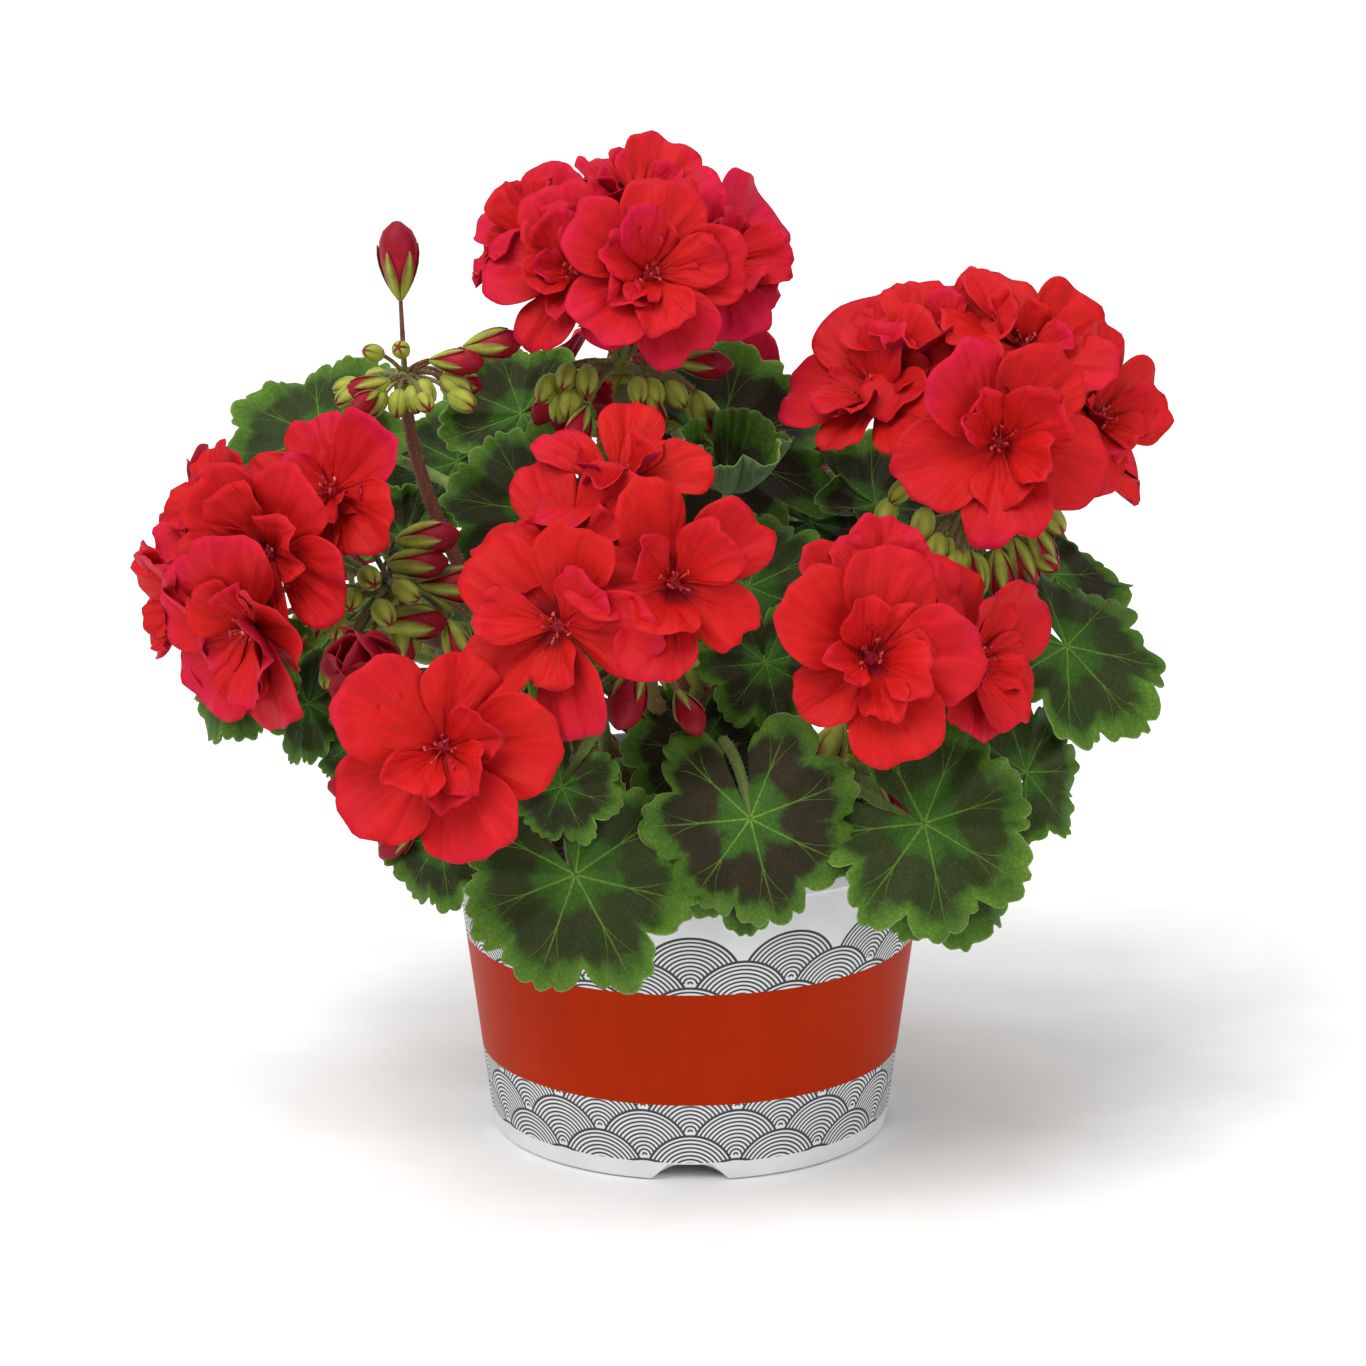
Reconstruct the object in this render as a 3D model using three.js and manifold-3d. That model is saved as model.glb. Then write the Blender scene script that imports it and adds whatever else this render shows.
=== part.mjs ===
// Potted zonal geranium: a round plastic nursery pot with its compost, a bushy plant
// with scalloped round leaves, and semi-double red flower heads on long stalks.
// Millimetres, +Z up. The origin is the middle of the pot's base. The front is -Y.
// A direction is given as [azimuth, elevation] in degrees: azimuth 0 is -Y, 90 is +X.
import * as THREE from 'three';
import { mergeVertices } from 'three/addons/utils/BufferGeometryUtils.js';
import Module from 'manifold-3d';

const wasm = await Module();
wasm.setup();

const clearance = 0.35; // left between neighbouring pieces
const touch = 0.05; // the least volume that counts as reaching into a neighbour
const flatness = 0.03; // corners that stand out less than this are left out
const degree = Math.PI / 180;

// The pot, an injection-moulded 12 cm one with a raised drain channel in its base.
const pot = {
  height: 82,
  footRadius: 49,
  collarRadius: 60.5,
  collarHeight: 8,
  wallTopRadius: 58.8,
  wall: 1.2,
  floor: 1.8,
  padRadius: 30,
  channelWidth: 15,
  channelRise: 3.4,
  sides: 24,
};
const drain = { count: 6, radius: 4, ring: 38, sides: 6 };
const notch = { count: 4, topHalf: 5.2, bottomHalf: 10.8, rise: 4.4, depth: 9 };
const compost = { top: 71, dome: 3, sides: 24, holeRadius: 6.6, holeDepth: 17.3 };

// The stems: a short woody crown, its branches, and every leaf stalk and flower stalk.
const crown = { bottom: 54, top: 88, bottomRadius: 5.2, topRadius: 6 };
const branches = {
  frontLeft: [-21, -24, 102],
  front: [2, -30, 108],
  frontRight: [23, -24, 100],
  right: [36, -4, 118],
  left: [-38, -8, 108],
  leftHigh: [-30, 10, 134],
  middle: [-4, 4, 138],
  back: [4, 30, 114],
};
const branchRadius = [4.6, 3.4];
const petiole = { base: 1.9, tip: 1.5, sides: 3, steps: 3 };
const stalk = { base: 2.7, tip: 2.3, sides: 4, steps: 4 };

// A leaf blade: a round, seven-lobed, toothed outline, cut to its middle by the sinus.
const blade = {
  lobes: 7,
  lobeDepth: 0.17,
  toothDepth: 0.07,
  basalShrink: 0.1,
  sinusHalf: 13 * degree,
  thickness: 1.1,
  ring: 0.55,
  pleat: 0.06,
  ruffle: 0.07,
  fineFrom: 28.5,
};

// at: where the stalk meets the blade. face: where its upper side looks. r: the radius.
// cup above 0 is a funnel and below 0 a drooping blade. spin turns it about its face.
const leaves = [
  { at: [-27, -86, 90], face: [-5, 15], r: 30.5, cup: -0.06, spin: 38, from: 'frontLeft' },
  { at: [14, -92.5, 106], face: [-4, 10], r: 28, cup: -0.3, spin: 5, from: 'front' },
  { at: [55, -84, 102], face: [10, 26], r: 29, cup: -0.1, spin: 42, from: 'frontRight' },
  { at: [90.5, -34, 131], face: [38, 48], r: 29, cup: -0.1, spin: 0, from: 'right' },
  { at: [80, -56, 106], face: [40, 24], r: 20, cup: -0.1, spin: 120, from: 'frontRight' },
  { at: [63, -59, 84], face: [30, 6], r: 22, cup: -0.06, spin: -10, from: 'frontRight' },
  { at: [-30, -90, 113], face: [-12, 8], r: 15, cup: -0.2, spin: -20, from: 'frontLeft' },
  { at: [12, -72, 89], face: [4, 6], r: 19, cup: -0.1, spin: 0, from: 'front' },
  { at: [-60, -56, 89], face: [-30, 14], r: 18, cup: -0.1, spin: -20, from: 'frontLeft' },
  { at: [-92, -32, 116], face: [-50, 20], r: 16, cup: -0.1, spin: 0, from: 'left' },
  { at: [-109, -24, 124.5], face: [-50, 28], r: 22, cup: -0.15, spin: 0, from: 'leftHigh' },
  { at: [-81, -46, 110], face: [-40, 16], r: 12, cup: -0.1, spin: 10, from: 'frontLeft' },
  { at: [-92, 12, 116], face: [-64, 44], r: 25, cup: -0.1, spin: 0, from: 'left' },
  { at: [-92, 43, 164], face: [-30, 54], r: 27, cup: 0.05, spin: 0, from: 'leftHigh' },
  { at: [-58, 50, 155], face: [-14, 52], r: 22, cup: 0.05, spin: 0, from: 'leftHigh' },
  { at: [-38, 11, 153], face: [-24, 32], r: 26, cup: 0.1, spin: 0, from: 'middle' },
  { at: [-42, 46, 168.5], face: [0, 46], r: 22, cup: 0.1, spin: 0, from: 'middle' },
  { at: [6, 34, 163], face: [12, 44], r: 33, cup: 0, spin: 0, from: 'middle' },
  { at: [9, -10, 164], face: [20, 78], r: 16, cup: 0.75, spin: 0, from: 'middle' },
  { at: [46, 28, 150], face: [36, 62], r: 22, cup: 0.3, spin: 0, from: 'right' },
  { at: [30, 40, 142], face: [14, 52], r: 20, cup: 0.1, spin: 0, from: 'middle' },
  { at: [14, -20, 142], face: [4, 40], r: 24, cup: 0, spin: 0, from: 'middle' },
  { at: [18, -48, 131], face: [6, 38], r: 18, cup: -0.05, spin: 0, from: 'front' },
  { at: [2, -56, 112], face: [0, 20], r: 20, cup: 0, spin: 0, from: 'front' },
  { at: [-70, 4, 148], face: [0, 50], r: 14, cup: 0.4, spin: 0, from: 'leftHigh' },
  { at: [-36, -19, 130], face: [-16, 40], r: 19, cup: 0, spin: 0, from: 'middle' },
  { at: [46, -28, 138], face: [24, 46], r: 22, cup: 0, spin: 0, from: 'right' },
  { at: [56, -46, 107], face: [16, 50], r: 13, cup: 0.5, spin: 0, from: 'right' },
  { at: [90, 20, 134], face: [62, 46], r: 25, cup: 0, spin: 0, from: 'back' },
  { at: [86, 48, 110], face: [108, 26], r: 29, cup: -0.1, spin: 0, from: 'right' },
  { at: [52, 82, 108], face: [148, 24], r: 29, cup: -0.1, spin: 0, from: 'back' },
  { at: [2, 92, 104], face: [178, 22], r: 30, cup: -0.12, spin: 0, from: 'back' },
  { at: [-46, 86, 112], face: [-154, 28], r: 29, cup: -0.1, spin: 0, from: 'back' },
  { at: [-88, 56, 104], face: [-118, 24], r: 28, cup: -0.1, spin: 0, from: 'left' },
  { at: [26, 72, 136], face: [168, 52], r: 25, cup: 0.05, spin: 0, from: 'back' },
  { at: [-28, 60, 142], face: [-160, 56], r: 22, cup: 0.05, spin: 0, from: 'back' },
];

// A floret: five petals on a small five-sided hub, each a thin cupped blade, and on the
// front side of the front heads two short ones standing over them.
const petal = {
  count: 5,
  length: 25.5,
  width: 23,
  thickness: 1.4,
  // [share of the length, half width as a share of the width], from the root to the tip
  outline: [[0.36, 0.29], [0.76, 0.5], [1, 0.2]],
  keelAt: 0.6,
  cup: 0.1,
  lift: 12 * degree,
  liftSpread: 20 * degree,
  roll: 12 * degree,
};
const innerPetal = { length: 15, width: 11, thickness: 1.4, lift: 48 * degree, at: [0, 3] };
const hub = { back: 4.6, front: 1.4, radius: 2.8, half: 0.8 };
// florets face a little lower than their stalks point, and the front ones to the light
const facingShift = { front: [0, -0.3, -0.2], back: [0, 0, -0.28] };

const pedicel = { radius: 0.85, sides: 3 };
const bud = { length: 10.5, radius: 3, sides: 4, reach: 15, mouth: 0.65 };
const umbelHub = { radius: 3.6, height: 5 };

// umbel: where the small stalks part. lean: the direction in which the stalk arrives.
// florets: [azimuth, elevation, reach, size]. buds: how many hang round the umbel.
const heads = [
  {
    name: 'top', inner: true, umbel: [-17, 8, 190], lean: [0, 86], from: 'middle', buds: 7,
    seed: 1,
    florets: [[-27, 50, 36, 0.92], [14, 45, 42, 0.95], [69, 48, 38, 0.9], [80, 84, 41, 0.86],
      [-85, 56, 37, 0.85], [167, 60, 37, 0.92]],
  },
  {
    name: 'right', inner: true, umbel: [67, -8, 157], lean: [60, 76], from: 'right', buds: 8,
    seed: 2,
    florets: [[-67, 53, 41, 0.96], [11, 38, 43, 1.05], [74, 40, 41, 0.94], [52, 69, 47, 0.92],
      [-49, 76, 45, 0.94], [168, 62, 40, 1.05]],
  },
  {
    name: 'left', inner: true, umbel: [-72, -20, 142], lean: [-60, 70], from: 'leftHigh', buds: 9,
    seed: 3,
    florets: [[-43, 22, 44, 1], [-44, -1, 47, 1.02], [-36, 51, 37, 0.92], [-80, 29, 45, 0.92],
      [-79, -2, 51, 0.98]],
  },
  {
    name: 'middle', inner: true, umbel: [-10, -58, 134], lean: [-10, 82], from: 'front',
    buds: 3, seed: 4,
    florets: [[-61, 80, 46, 0.9], [-52, 53, 40, 0.95], [-31, 25, 44, 1.06], [10, 40, 45, 1.02]],
  },
  {
    name: 'front_right', inner: true, umbel: [36, -52, 112], lean: [10, 74], from: 'front',
    buds: 2, seed: 5,
    florets: [[9, 40, 50, 1.06], [64, 36, 42, 0.96], [20, 60, 48, 0.86]],
  },
  {
    name: 'front_left', inner: true, umbel: [-54, -56, 99], lean: [-30, 60], from: 'frontLeft',
    buds: 2, seed: 6,
    florets: [[-5, 32, 48, 1.12], [-58, 56, 37, 0.85]], loose: 1,
  },
  {
    name: 'back', umbel: [-10, 66, 132], lean: [170, 78], from: 'back', buds: 2, seed: 7,
    florets: [[176, 30, 42, 1], [124, 36, 42, 1], [-128, 36, 42, 1], [160, 78, 44, 1]],
  },
  {
    name: 'back_right', umbel: [70, 58, 126], lean: [130, 70], from: 'right', buds: 1, seed: 8,
    florets: [[170, 30, 42, 1], [118, 48, 40, 0.95], [84, 52, 40, 0.92], [140, 74, 44, 1]],
  },
  {
    name: 'back_left', umbel: [-84, 54, 112], lean: [-110, 66], from: 'leftHigh', buds: 1, seed: 9,
    florets: [[-170, 32, 42, 1], [-112, 24, 44, 1], [-90, 34, 40, 0.95]],
  },
];

// Petals that are shorter or longer than the others of their floret: 'floret.petal'.
const petalShares = {
  top: { '0.3': 0.9, '2.1': 0.8, '2.2': 1.25, '3.3': 0.85, '4.1': 0.78 },
  right: { '0.1': 1.1, '0.3': 0.8, '2.0': 0.55, '3.4': 1.1, '4.2': 0.85 },
  left: { '2.0': 0.85, '3.1': 0.72, '3.2': 0.75, '4.0': 0.75, '4.3': 0.75, '4.4': 0.8 },
  middle: { '3.2': 0.85 },
  front_left: { '0.4': 0.82 },
  front_right: { '0.4': 0.78, '1.0': 0.75, '1.4': 0.8 },
};

// Heads still in bud: the tall one keeps one bud upright over the hanging ones.
const budHeads = [
  { name: 'bud_head', umbel: [-69, -8, 191], lean: [-20, 84], from: 'left', buds: 9, seed: 11,
    size: 0.85, upright: 24.5, droop: 0.4 },
  { name: 'young_bud_head', umbel: [42, -58, 97], lean: [0, 60], from: 'frontRight', buds: 4,
    seed: 12, size: 0.6, upright: 0 },
];

const colours = {
  plastic: { color: 0xe9eaea, roughness: 0.4 },
  soil: { color: 0x33241a, roughness: 1 },
  stem: { color: 0x6f7a35, roughness: 0.65 },
  leaf: { color: 0x3f6f22, roughness: 0.6 },
  petal: { color: 0xd91c22, roughness: 0.55 },
  bud: { color: 0x8f9c3a, roughness: 0.6 },
};
const materials = Object.fromEntries(
  Object.entries(colours).map(([name, look]) => [
    name,
    new THREE.MeshStandardMaterial({ name, metalness: 0, ...look }),
  ]),
);

const vector = (v) => new THREE.Vector3(v[0], v[1], v[2]);
const up = new THREE.Vector3(0, 0, 1);

// A repeatable number from 0 to 1 for draw k of a seed.
const chance = (seed, k) => {
  const s = Math.sin(seed * 12.9898 + k * 78.233) * 43758.5453;
  return s - Math.floor(s);
};

const direction = (azimuth, elevation) =>
  new THREE.Vector3(
    Math.sin(azimuth * degree) * Math.cos(elevation * degree),
    -Math.cos(azimuth * degree) * Math.cos(elevation * degree),
    Math.sin(elevation * degree),
  );

// Closed triangles as a solid. Triangles whose corners have merged are left out.
function solidOf(geometry) {
  const bare = new THREE.BufferGeometry();
  bare.setAttribute('position', geometry.getAttribute('position'));
  if (geometry.index) bare.setIndex(geometry.index);
  const merged = mergeVertices(bare, 1e-4);
  const corners = [];
  for (let i = 0; i < merged.index.count; i += 3) {
    const [a, b, c] = [0, 1, 2].map((k) => merged.index.getX(i + k));
    if (a !== b && b !== c && c !== a) corners.push(a, b, c);
  }
  return new wasm.Manifold(
    new wasm.Mesh({
      numProp: 3,
      vertProperties: merged.attributes.position.array,
      triVerts: new Uint32Array(corners),
    }),
  );
}

function surface(points, triangles) {
  const geometry = new THREE.BufferGeometry();
  geometry.setAttribute(
    'position',
    new THREE.Float32BufferAttribute(points.flatMap((p) => [p.x, p.y, p.z]), 3),
  );
  geometry.setIndex(triangles);
  return geometry;
}

const fused = (solids) => wasm.Manifold.union(solids);

// The largest body of a solid, without the scraps that a cut leaves.
const largest = (solid) =>
  solid.decompose().reduce((a, b) => (b.volume() > a.volume() ? b : a));

// Corners of local points in a frame with that origin, x axis and z axis.
function framed(origin, xAxis, zAxis) {
  const yAxis = new THREE.Vector3().crossVectors(zAxis, xAxis);
  return new THREE.Matrix4().makeBasis(xAxis, yAxis, zAxis).setPosition(origin);
}

// A closed tapering tube through points, with rings carried along without twist.
function tube(points, radiusAt, sides) {
  const corners = [];
  const triangles = [];
  const tangents = points.map((p, i) =>
    new THREE.Vector3()
      .subVectors(points[Math.min(i + 1, points.length - 1)], points[Math.max(i - 1, 0)])
      .normalize(),
  );
  const side = new THREE.Vector3(1, 0.2, 0.1);
  points.forEach((p, i) => {
    side.addScaledVector(tangents[i], -side.dot(tangents[i])).normalize();
    const across = new THREE.Vector3().crossVectors(tangents[i], side);
    const radius = radiusAt(i / (points.length - 1));
    for (let k = 0; k < sides; k += 1) {
      const angle = (2 * Math.PI * k) / sides;
      corners.push(
        p.clone()
          .addScaledVector(side, radius * Math.cos(angle))
          .addScaledVector(across, radius * Math.sin(angle)),
      );
    }
  });
  for (let i = 0; i < points.length - 1; i += 1) {
    for (let k = 0; k < sides; k += 1) {
      const [a, b] = [i * sides + k, i * sides + ((k + 1) % sides)];
      triangles.push(a, b, b + sides, a, b + sides, a + sides);
    }
  }
  const last = (points.length - 1) * sides;
  for (let k = 1; k < sides - 1; k += 1) {
    triangles.push(0, k + 1, k, last, last + k, last + k + 1);
  }
  return solidOf(surface(corners, triangles));
}

const taper = (base, tip) => (share) => base + (tip - base) * share;

// A leaf: its frame, and the point of its middle surface at a share of the radius.
function leafFrame(leaf) {
  const normal = direction(...leaf.face);
  const at = vector(leaf.at);
  const outward = new THREE.Vector3(at.x, at.y, 0).normalize();
  const midrib = outward.multiplyScalar(0.5).addScaledVector(up, -0.6);
  midrib.addScaledVector(normal, -midrib.dot(normal)).normalize();
  midrib.applyAxisAngle(normal, leaf.spin * degree);
  return { at, normal, midrib, matrix: framed(at, midrib, normal) };
}

const lobeWave = (share) => Math.sqrt(Math.abs(Math.sin(Math.PI * blade.lobes * share)));

function outlineRadius(share, teeth) {
  const lobe = 1 - blade.lobeDepth * (1 - lobeWave(share));
  const tooth = 1 - blade.toothDepth * (1 - Math.abs(Math.sin(Math.PI * blade.lobes * teeth * share)));
  const basal = 1 - blade.basalShrink * Math.abs(2 * share - 1) ** 2;
  return lobe * tooth * basal;
}

// share runs round the margin from one side of the sinus to the other, depth from the
// middle to the margin.
function bladePoint(leaf, seed, share, depth, teeth) {
  const angle = (2 * share - 1) * (Math.PI - blade.sinusHalf);
  const radius = leaf.r * depth * outlineRadius(share, teeth);
  const wave = blade.pleat * depth * (0.5 - lobeWave(share))
    + blade.ruffle * depth ** 3 * Math.sin(3 * angle + 6.3 * chance(seed, 5))
    + leaf.cup * depth ** 2 * (leaf.cup > 0.3 ? 1.2 : 1);
  return new THREE.Vector3(radius * Math.cos(angle), radius * Math.sin(angle), leaf.r * wave);
}

function bladeSolid(leaf, seed, grow = 0) {
  const teeth = leaf.r > blade.fineFrom ? 3 : 2;
  const outer = 2 * blade.lobes * teeth;
  const inner = blade.lobes;
  const middle = [];
  const half = [];
  for (let i = 0; i <= outer; i += 1) {
    middle.push(bladePoint(leaf, seed, i / outer, 1 + grow / leaf.r, teeth));
    half.push(grow);
  }
  for (let k = 0; k <= inner; k += 1) {
    middle.push(bladePoint(leaf, seed, k / inner, blade.ring, teeth));
    half.push(blade.thickness / 2 + grow);
  }
  middle.push(new THREE.Vector3(0, 0, 0));
  half.push(blade.thickness / 2 + grow);

  const hubAt = middle.length - 1;
  const ringAt = outer + 1;
  const top = [];
  for (let i = 0, k = 0; i < outer || k < inner; ) {
    const outerNext = (i + 1) / outer;
    const innerNext = (k + 1) / inner;
    if (i < outer && (outerNext <= innerNext + 1e-9 || k === inner)) {
      top.push([ringAt + k, i, i + 1]);
      i += 1;
    } else {
      top.push([ringAt + k, i, ringAt + k + 1]);
      k += 1;
    }
  }
  for (let k = 0; k < inner; k += 1) top.push([hubAt, ringAt + k, ringAt + k + 1]);

  const rim = [];
  for (let i = 0; i <= outer; i += 1) rim.push(i);
  rim.push(ringAt + inner, hubAt, ringAt);
  const under = middle.length;
  const triangles = top.flat();
  top.forEach(([a, b, c]) => triangles.push(under + a, under + c, under + b));
  rim.forEach((a, i) => {
    const b = rim[(i + 1) % rim.length];
    triangles.push(a, under + a, under + b, a, under + b, b);
  });
  const corners = [1, -1].flatMap((side) =>
    middle.map((p, i) => new THREE.Vector3(p.x, p.y, p.z + side * half[i])),
  );
  return solidOf(surface(corners, triangles).applyMatrix4(leafFrame(leaf).matrix));
}

// The stalk of a leaf runs from its branch over the rim and up under the blade's middle.
function petiolePath(leaf) {
  const { at, normal, midrib } = leafFrame(leaf);
  const start = joint(leaf, endHeight);
  const funnel = Math.max(0, Math.min(1, leaf.cup * 2));
  const arrival = midrib.clone().multiplyScalar(0.8 * (1 - funnel));
  arrival.addScaledVector(normal, 0.62 + 0.38 * funnel).normalize();
  const gap = blade.thickness / 2 + 1.3 * clearance + petiole.tip * (0.62 - 0.5 * funnel);
  const end = at.clone().addScaledVector(normal, -gap).addScaledVector(midrib, 0.8);
  const span = start.distanceTo(end);
  const rise = new THREE.Vector3(end.x - start.x, end.y - start.y, 0).normalize();
  rise.multiplyScalar(0.22 * span).addScaledVector(up, 0.26 * span).add(start);
  const approach = end.clone().addScaledVector(arrival, -0.35 * span);
  return new THREE.CubicBezierCurve3(start, rise, approach, end);
}

const crownTop = new THREE.Vector3(0, 0, crown.top - 6);

function branchPath(name) {
  const tip = vector(branches[name]);
  const bend = crownTop.clone().lerp(tip, 0.5).addScaledVector(up, -3);
  return new THREE.QuadraticBezierCurve3(crownTop.clone().addScaledVector(up, -4), bend, tip);
}

// Where a stalk leaves its branch: one after another, the low ones first.
function joint(item, heightOf) {
  const crowd = [...leaves, ...heads, ...budHeads].filter((other) => other.from === item.from);
  crowd.sort((one, other) => heightOf(one) - heightOf(other));
  const share = 0.34 + (0.62 * crowd.indexOf(item)) / Math.max(1, crowd.length - 1);
  return branchPath(item.from).getPoint(share);
}

const endHeight = (item) => (item.at ?? item.umbel)[2];

function stalkPath(head) {
  const lean = direction(...head.lean);
  const start = joint(head, endHeight);
  const tilt = Math.hypot(lean.x, lean.y) * stalk.tip * (head.size ?? 1) + clearance;
  const end = vector(head.umbel).addScaledVector(up, -umbelHub.height / 2 - clearance - tilt);
  const span = start.distanceTo(end);
  const rise = new THREE.Vector3(end.x - start.x, end.y - start.y, 0);
  rise.multiplyScalar(0.35).addScaledVector(up, 0.25 * span).add(start);
  const approach = end.clone().addScaledVector(lean, -0.35 * span);
  return new THREE.CubicBezierCurve3(start, rise, approach, end);
}

function petioleSolid(leaf, grow = 0) {
  const points = petiolePath(leaf).getPoints(petiole.steps);
  return tube(points, taper(petiole.base + grow, petiole.tip + grow), petiole.sides);
}

function stalkSolid(head, grow = 0) {
  const size = head.size ?? 1;
  const points = stalkPath(head).getPoints(stalk.steps);
  return tube(points, taper(stalk.base * size + grow, stalk.tip * size + grow), stalk.sides);
}

function stemsSolid(grow = 0) {
  const foot = new THREE.Vector3(0, 0, crown.bottom - grow);
  const head = new THREE.Vector3(0, 0, crown.top);
  const trunk = tube([foot, head], taper(crown.bottomRadius + grow, crown.topRadius + grow), 8);
  const limbs = Object.keys(branches).map((name) =>
    tube(branchPath(name).getPoints(2), taper(branchRadius[0] + grow, branchRadius[1] + grow), 5),
  );
  return fused([
    trunk,
    ...limbs,
    ...leaves.map((leaf) => petioleSolid(leaf, grow)),
    ...[...heads, ...budHeads].map((item) => stalkSolid(item, grow)),
  ]);
}

// A floret: where its hub sits and which way it faces.
function floretFrame(head, [azimuth, elevation, reach]) {
  const out = direction(azimuth, elevation);
  const at = vector(head.umbel).addScaledVector(out, reach);
  const facing = out.clone().add(vector(facingShift[head.inner ? 'front' : 'back'])).normalize();
  const xAxis = new THREE.Vector3().crossVectors(up, facing);
  if (xAxis.lengthSq() < 1e-6) xAxis.set(1, 0, 0);
  return { at, facing, matrix: framed(at, xAxis.normalize(), facing) };
}

// A point of a petal, from its share of the length and its distance from the keel.
function petalPoint(shape, along, across, lift, turn, curl) {
  const x = along * shape.length;
  const flat = new THREE.Vector3(
    hub.radius + x,
    across * Math.cos(petal.roll),
    petal.cup * shape.width * (2 * across / shape.width) ** 2 - curl * x * along,
  );
  flat.z += across * Math.sin(petal.roll);
  flat.x -= hub.radius;
  flat.applyAxisAngle(new THREE.Vector3(0, 1, 0), -lift);
  flat.x += hub.radius;
  return flat.applyAxisAngle(new THREE.Vector3(0, 0, 1), turn);
}

// A floret as one closed surface: each side of the hub opens into a petal, and some
// sides of its top into a short inner one.
function floretSolid(head, floret, index, grow = 0) {
  const seed = head.seed * 20 + index;
  const size = floret[3];
  const first = 360 * chance(seed, 9) * degree;
  const step = (360 * degree) / petal.count;
  const corners = [
    new THREE.Vector3(0, 0, hub.front + grow),
    new THREE.Vector3(0, 0, -hub.back - grow),
  ];
  for (const height of [hub.half + grow, -hub.half - grow]) {
    for (let k = 0; k < petal.count; k += 1) {
      const angle = first + (k - 0.5) * step;
      const radius = hub.radius / Math.cos(step / 2);
      corners.push(new THREE.Vector3(radius * Math.cos(angle), radius * Math.sin(angle), height));
    }
  }
  const triangles = [];
  for (let k = 0; k < petal.count; k += 1) {
    const next = (k + 1) % petal.count;
    const [topA, topB] = [2 + k, 2 + next];
    const [underA, underB] = [topA + petal.count, topB + petal.count];
    const turn = first + k * step;
    const lift = petal.lift + petal.liftSpread * (chance(seed, 20 + k) - 0.4);
    const curl = 0.15 * (chance(seed, 30 + k) - 0.35);
    const share = petalShares[head.name]?.[`${index}.${k}`] ?? 1;
    const shape = {
      length: petal.length * size * share + grow - hub.radius,
      width: petal.width * size * share,
    };
    const point = (along, across) => petalPoint(shape, along, across, lift, turn, curl);
    const rim = corners.length;
    for (const [along, out] of petal.outline) corners.push(point(along, -out * shape.width - grow));
    for (const [along, out] of [...petal.outline].reverse()) {
      corners.push(point(along, out * shape.width + grow));
    }
    const keel = corners.length;
    const middle = point(petal.keelAt, 0);
    const half = petal.thickness / 2 + grow;
    corners.push(middle.clone().setZ(middle.z + half), middle.clone().setZ(middle.z - half));
    const last = keel - 1;
    for (let i = rim; i < last; i += 1) triangles.push(keel, i, i + 1, keel + 1, i + 1, i);
    triangles.push(keel, topA, rim, keel, last, topB, keel, topB, topA);
    triangles.push(keel + 1, rim, underA, keel + 1, underB, last, keel + 1, underA, underB);
    triangles.push(topA, underA, rim, topB, last, underB);
    triangles.push(1, underB, underA);
    if (head.inner && Math.abs(floret[0]) < 80 && innerPetal.at.includes(k)) {
      innerPetalCorners(size, seed + k, turn, grow, corners, triangles, [topA, topB]);
    } else {
      triangles.push(0, topA, topB);
    }
  }
  return solidOf(surface(corners, triangles).applyMatrix4(floretFrame(head, floret).matrix));
}

// A short petal that stands on one side of the hub's top.
function innerPetalCorners(size, seed, turn, grow, corners, triangles, [footA, footB]) {
  const length = innerPetal.length * size * (0.85 + 0.3 * chance(seed, 40)) + grow;
  const half = (innerPetal.width * size) / 2 + grow;
  const lift = innerPetal.lift + 24 * degree * (chance(seed, 41) - 0.5);
  const at = (along, across, raise) =>
    new THREE.Vector3(along * Math.cos(lift) + hub.radius * 0.7, across, along * Math.sin(lift) + raise)
      .applyAxisAngle(new THREE.Vector3(0, 0, 1), turn);
  const base = corners.length;
  const above = innerPetal.thickness + 2 * grow;
  corners.push(
    at(0.6 * length, -half, 0),
    at(length, -0.4 * half, 0),
    at(length, 0.4 * half, 0),
    at(0.6 * length, half, 0),
    at(0.6 * length, 0, above),
  );
  const [a, b, c, d, crest] = [base, base + 1, base + 2, base + 3, base + 4];
  triangles.push(0, footA, a, 0, a, crest, 0, crest, d, 0, d, footB);
  triangles.push(crest, a, b, crest, b, c, crest, c, d);
  triangles.push(footA, footB, d, footA, d, a, a, d, c, a, c, b);
}

// A bud and its small stalk as one tube, that swells into the bud and ends in a point.
function budSolid(root, crest, { at, along, size }, grow) {
  const length = bud.length * size;
  const radius = bud.radius * size;
  const on = (share) => at.clone().addScaledVector(along, share * length);
  const points = [root, crest, at, on(0.3), on(bud.mouth), on(1 + grow / length)];
  const radii = [pedicel.radius, pedicel.radius, pedicel.radius, radius, 0.85 * radius, -grow];
  return tube(points, (share) => radii[Math.round(share * 5)] + grow, bud.sides);
}

// Where bud k of a head hangs: the small stalk's end and the bud's direction.
function budPlace(head, k) {
  const size = head.size ?? 1;
  const azimuth = (360 * (k + 0.6 * chance(head.seed, k))) / head.buds;
  const out = direction(azimuth, 0);
  const reach = bud.reach * size * (0.75 + 0.5 * chance(head.seed, 30 + k));
  const droop = head.droop ?? 1;
  const fall = (2 + 7 * chance(head.seed, 60 + k)) * size * droop;
  const at = vector(head.umbel).addScaledVector(out, reach).addScaledVector(up, -fall);
  const along = direction(azimuth, (-25 - 45 * chance(head.seed, 90 + k)) * droop);
  return { at, along, size: size * (0.8 + 0.35 * chance(head.seed, 120 + k)) };
}

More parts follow.
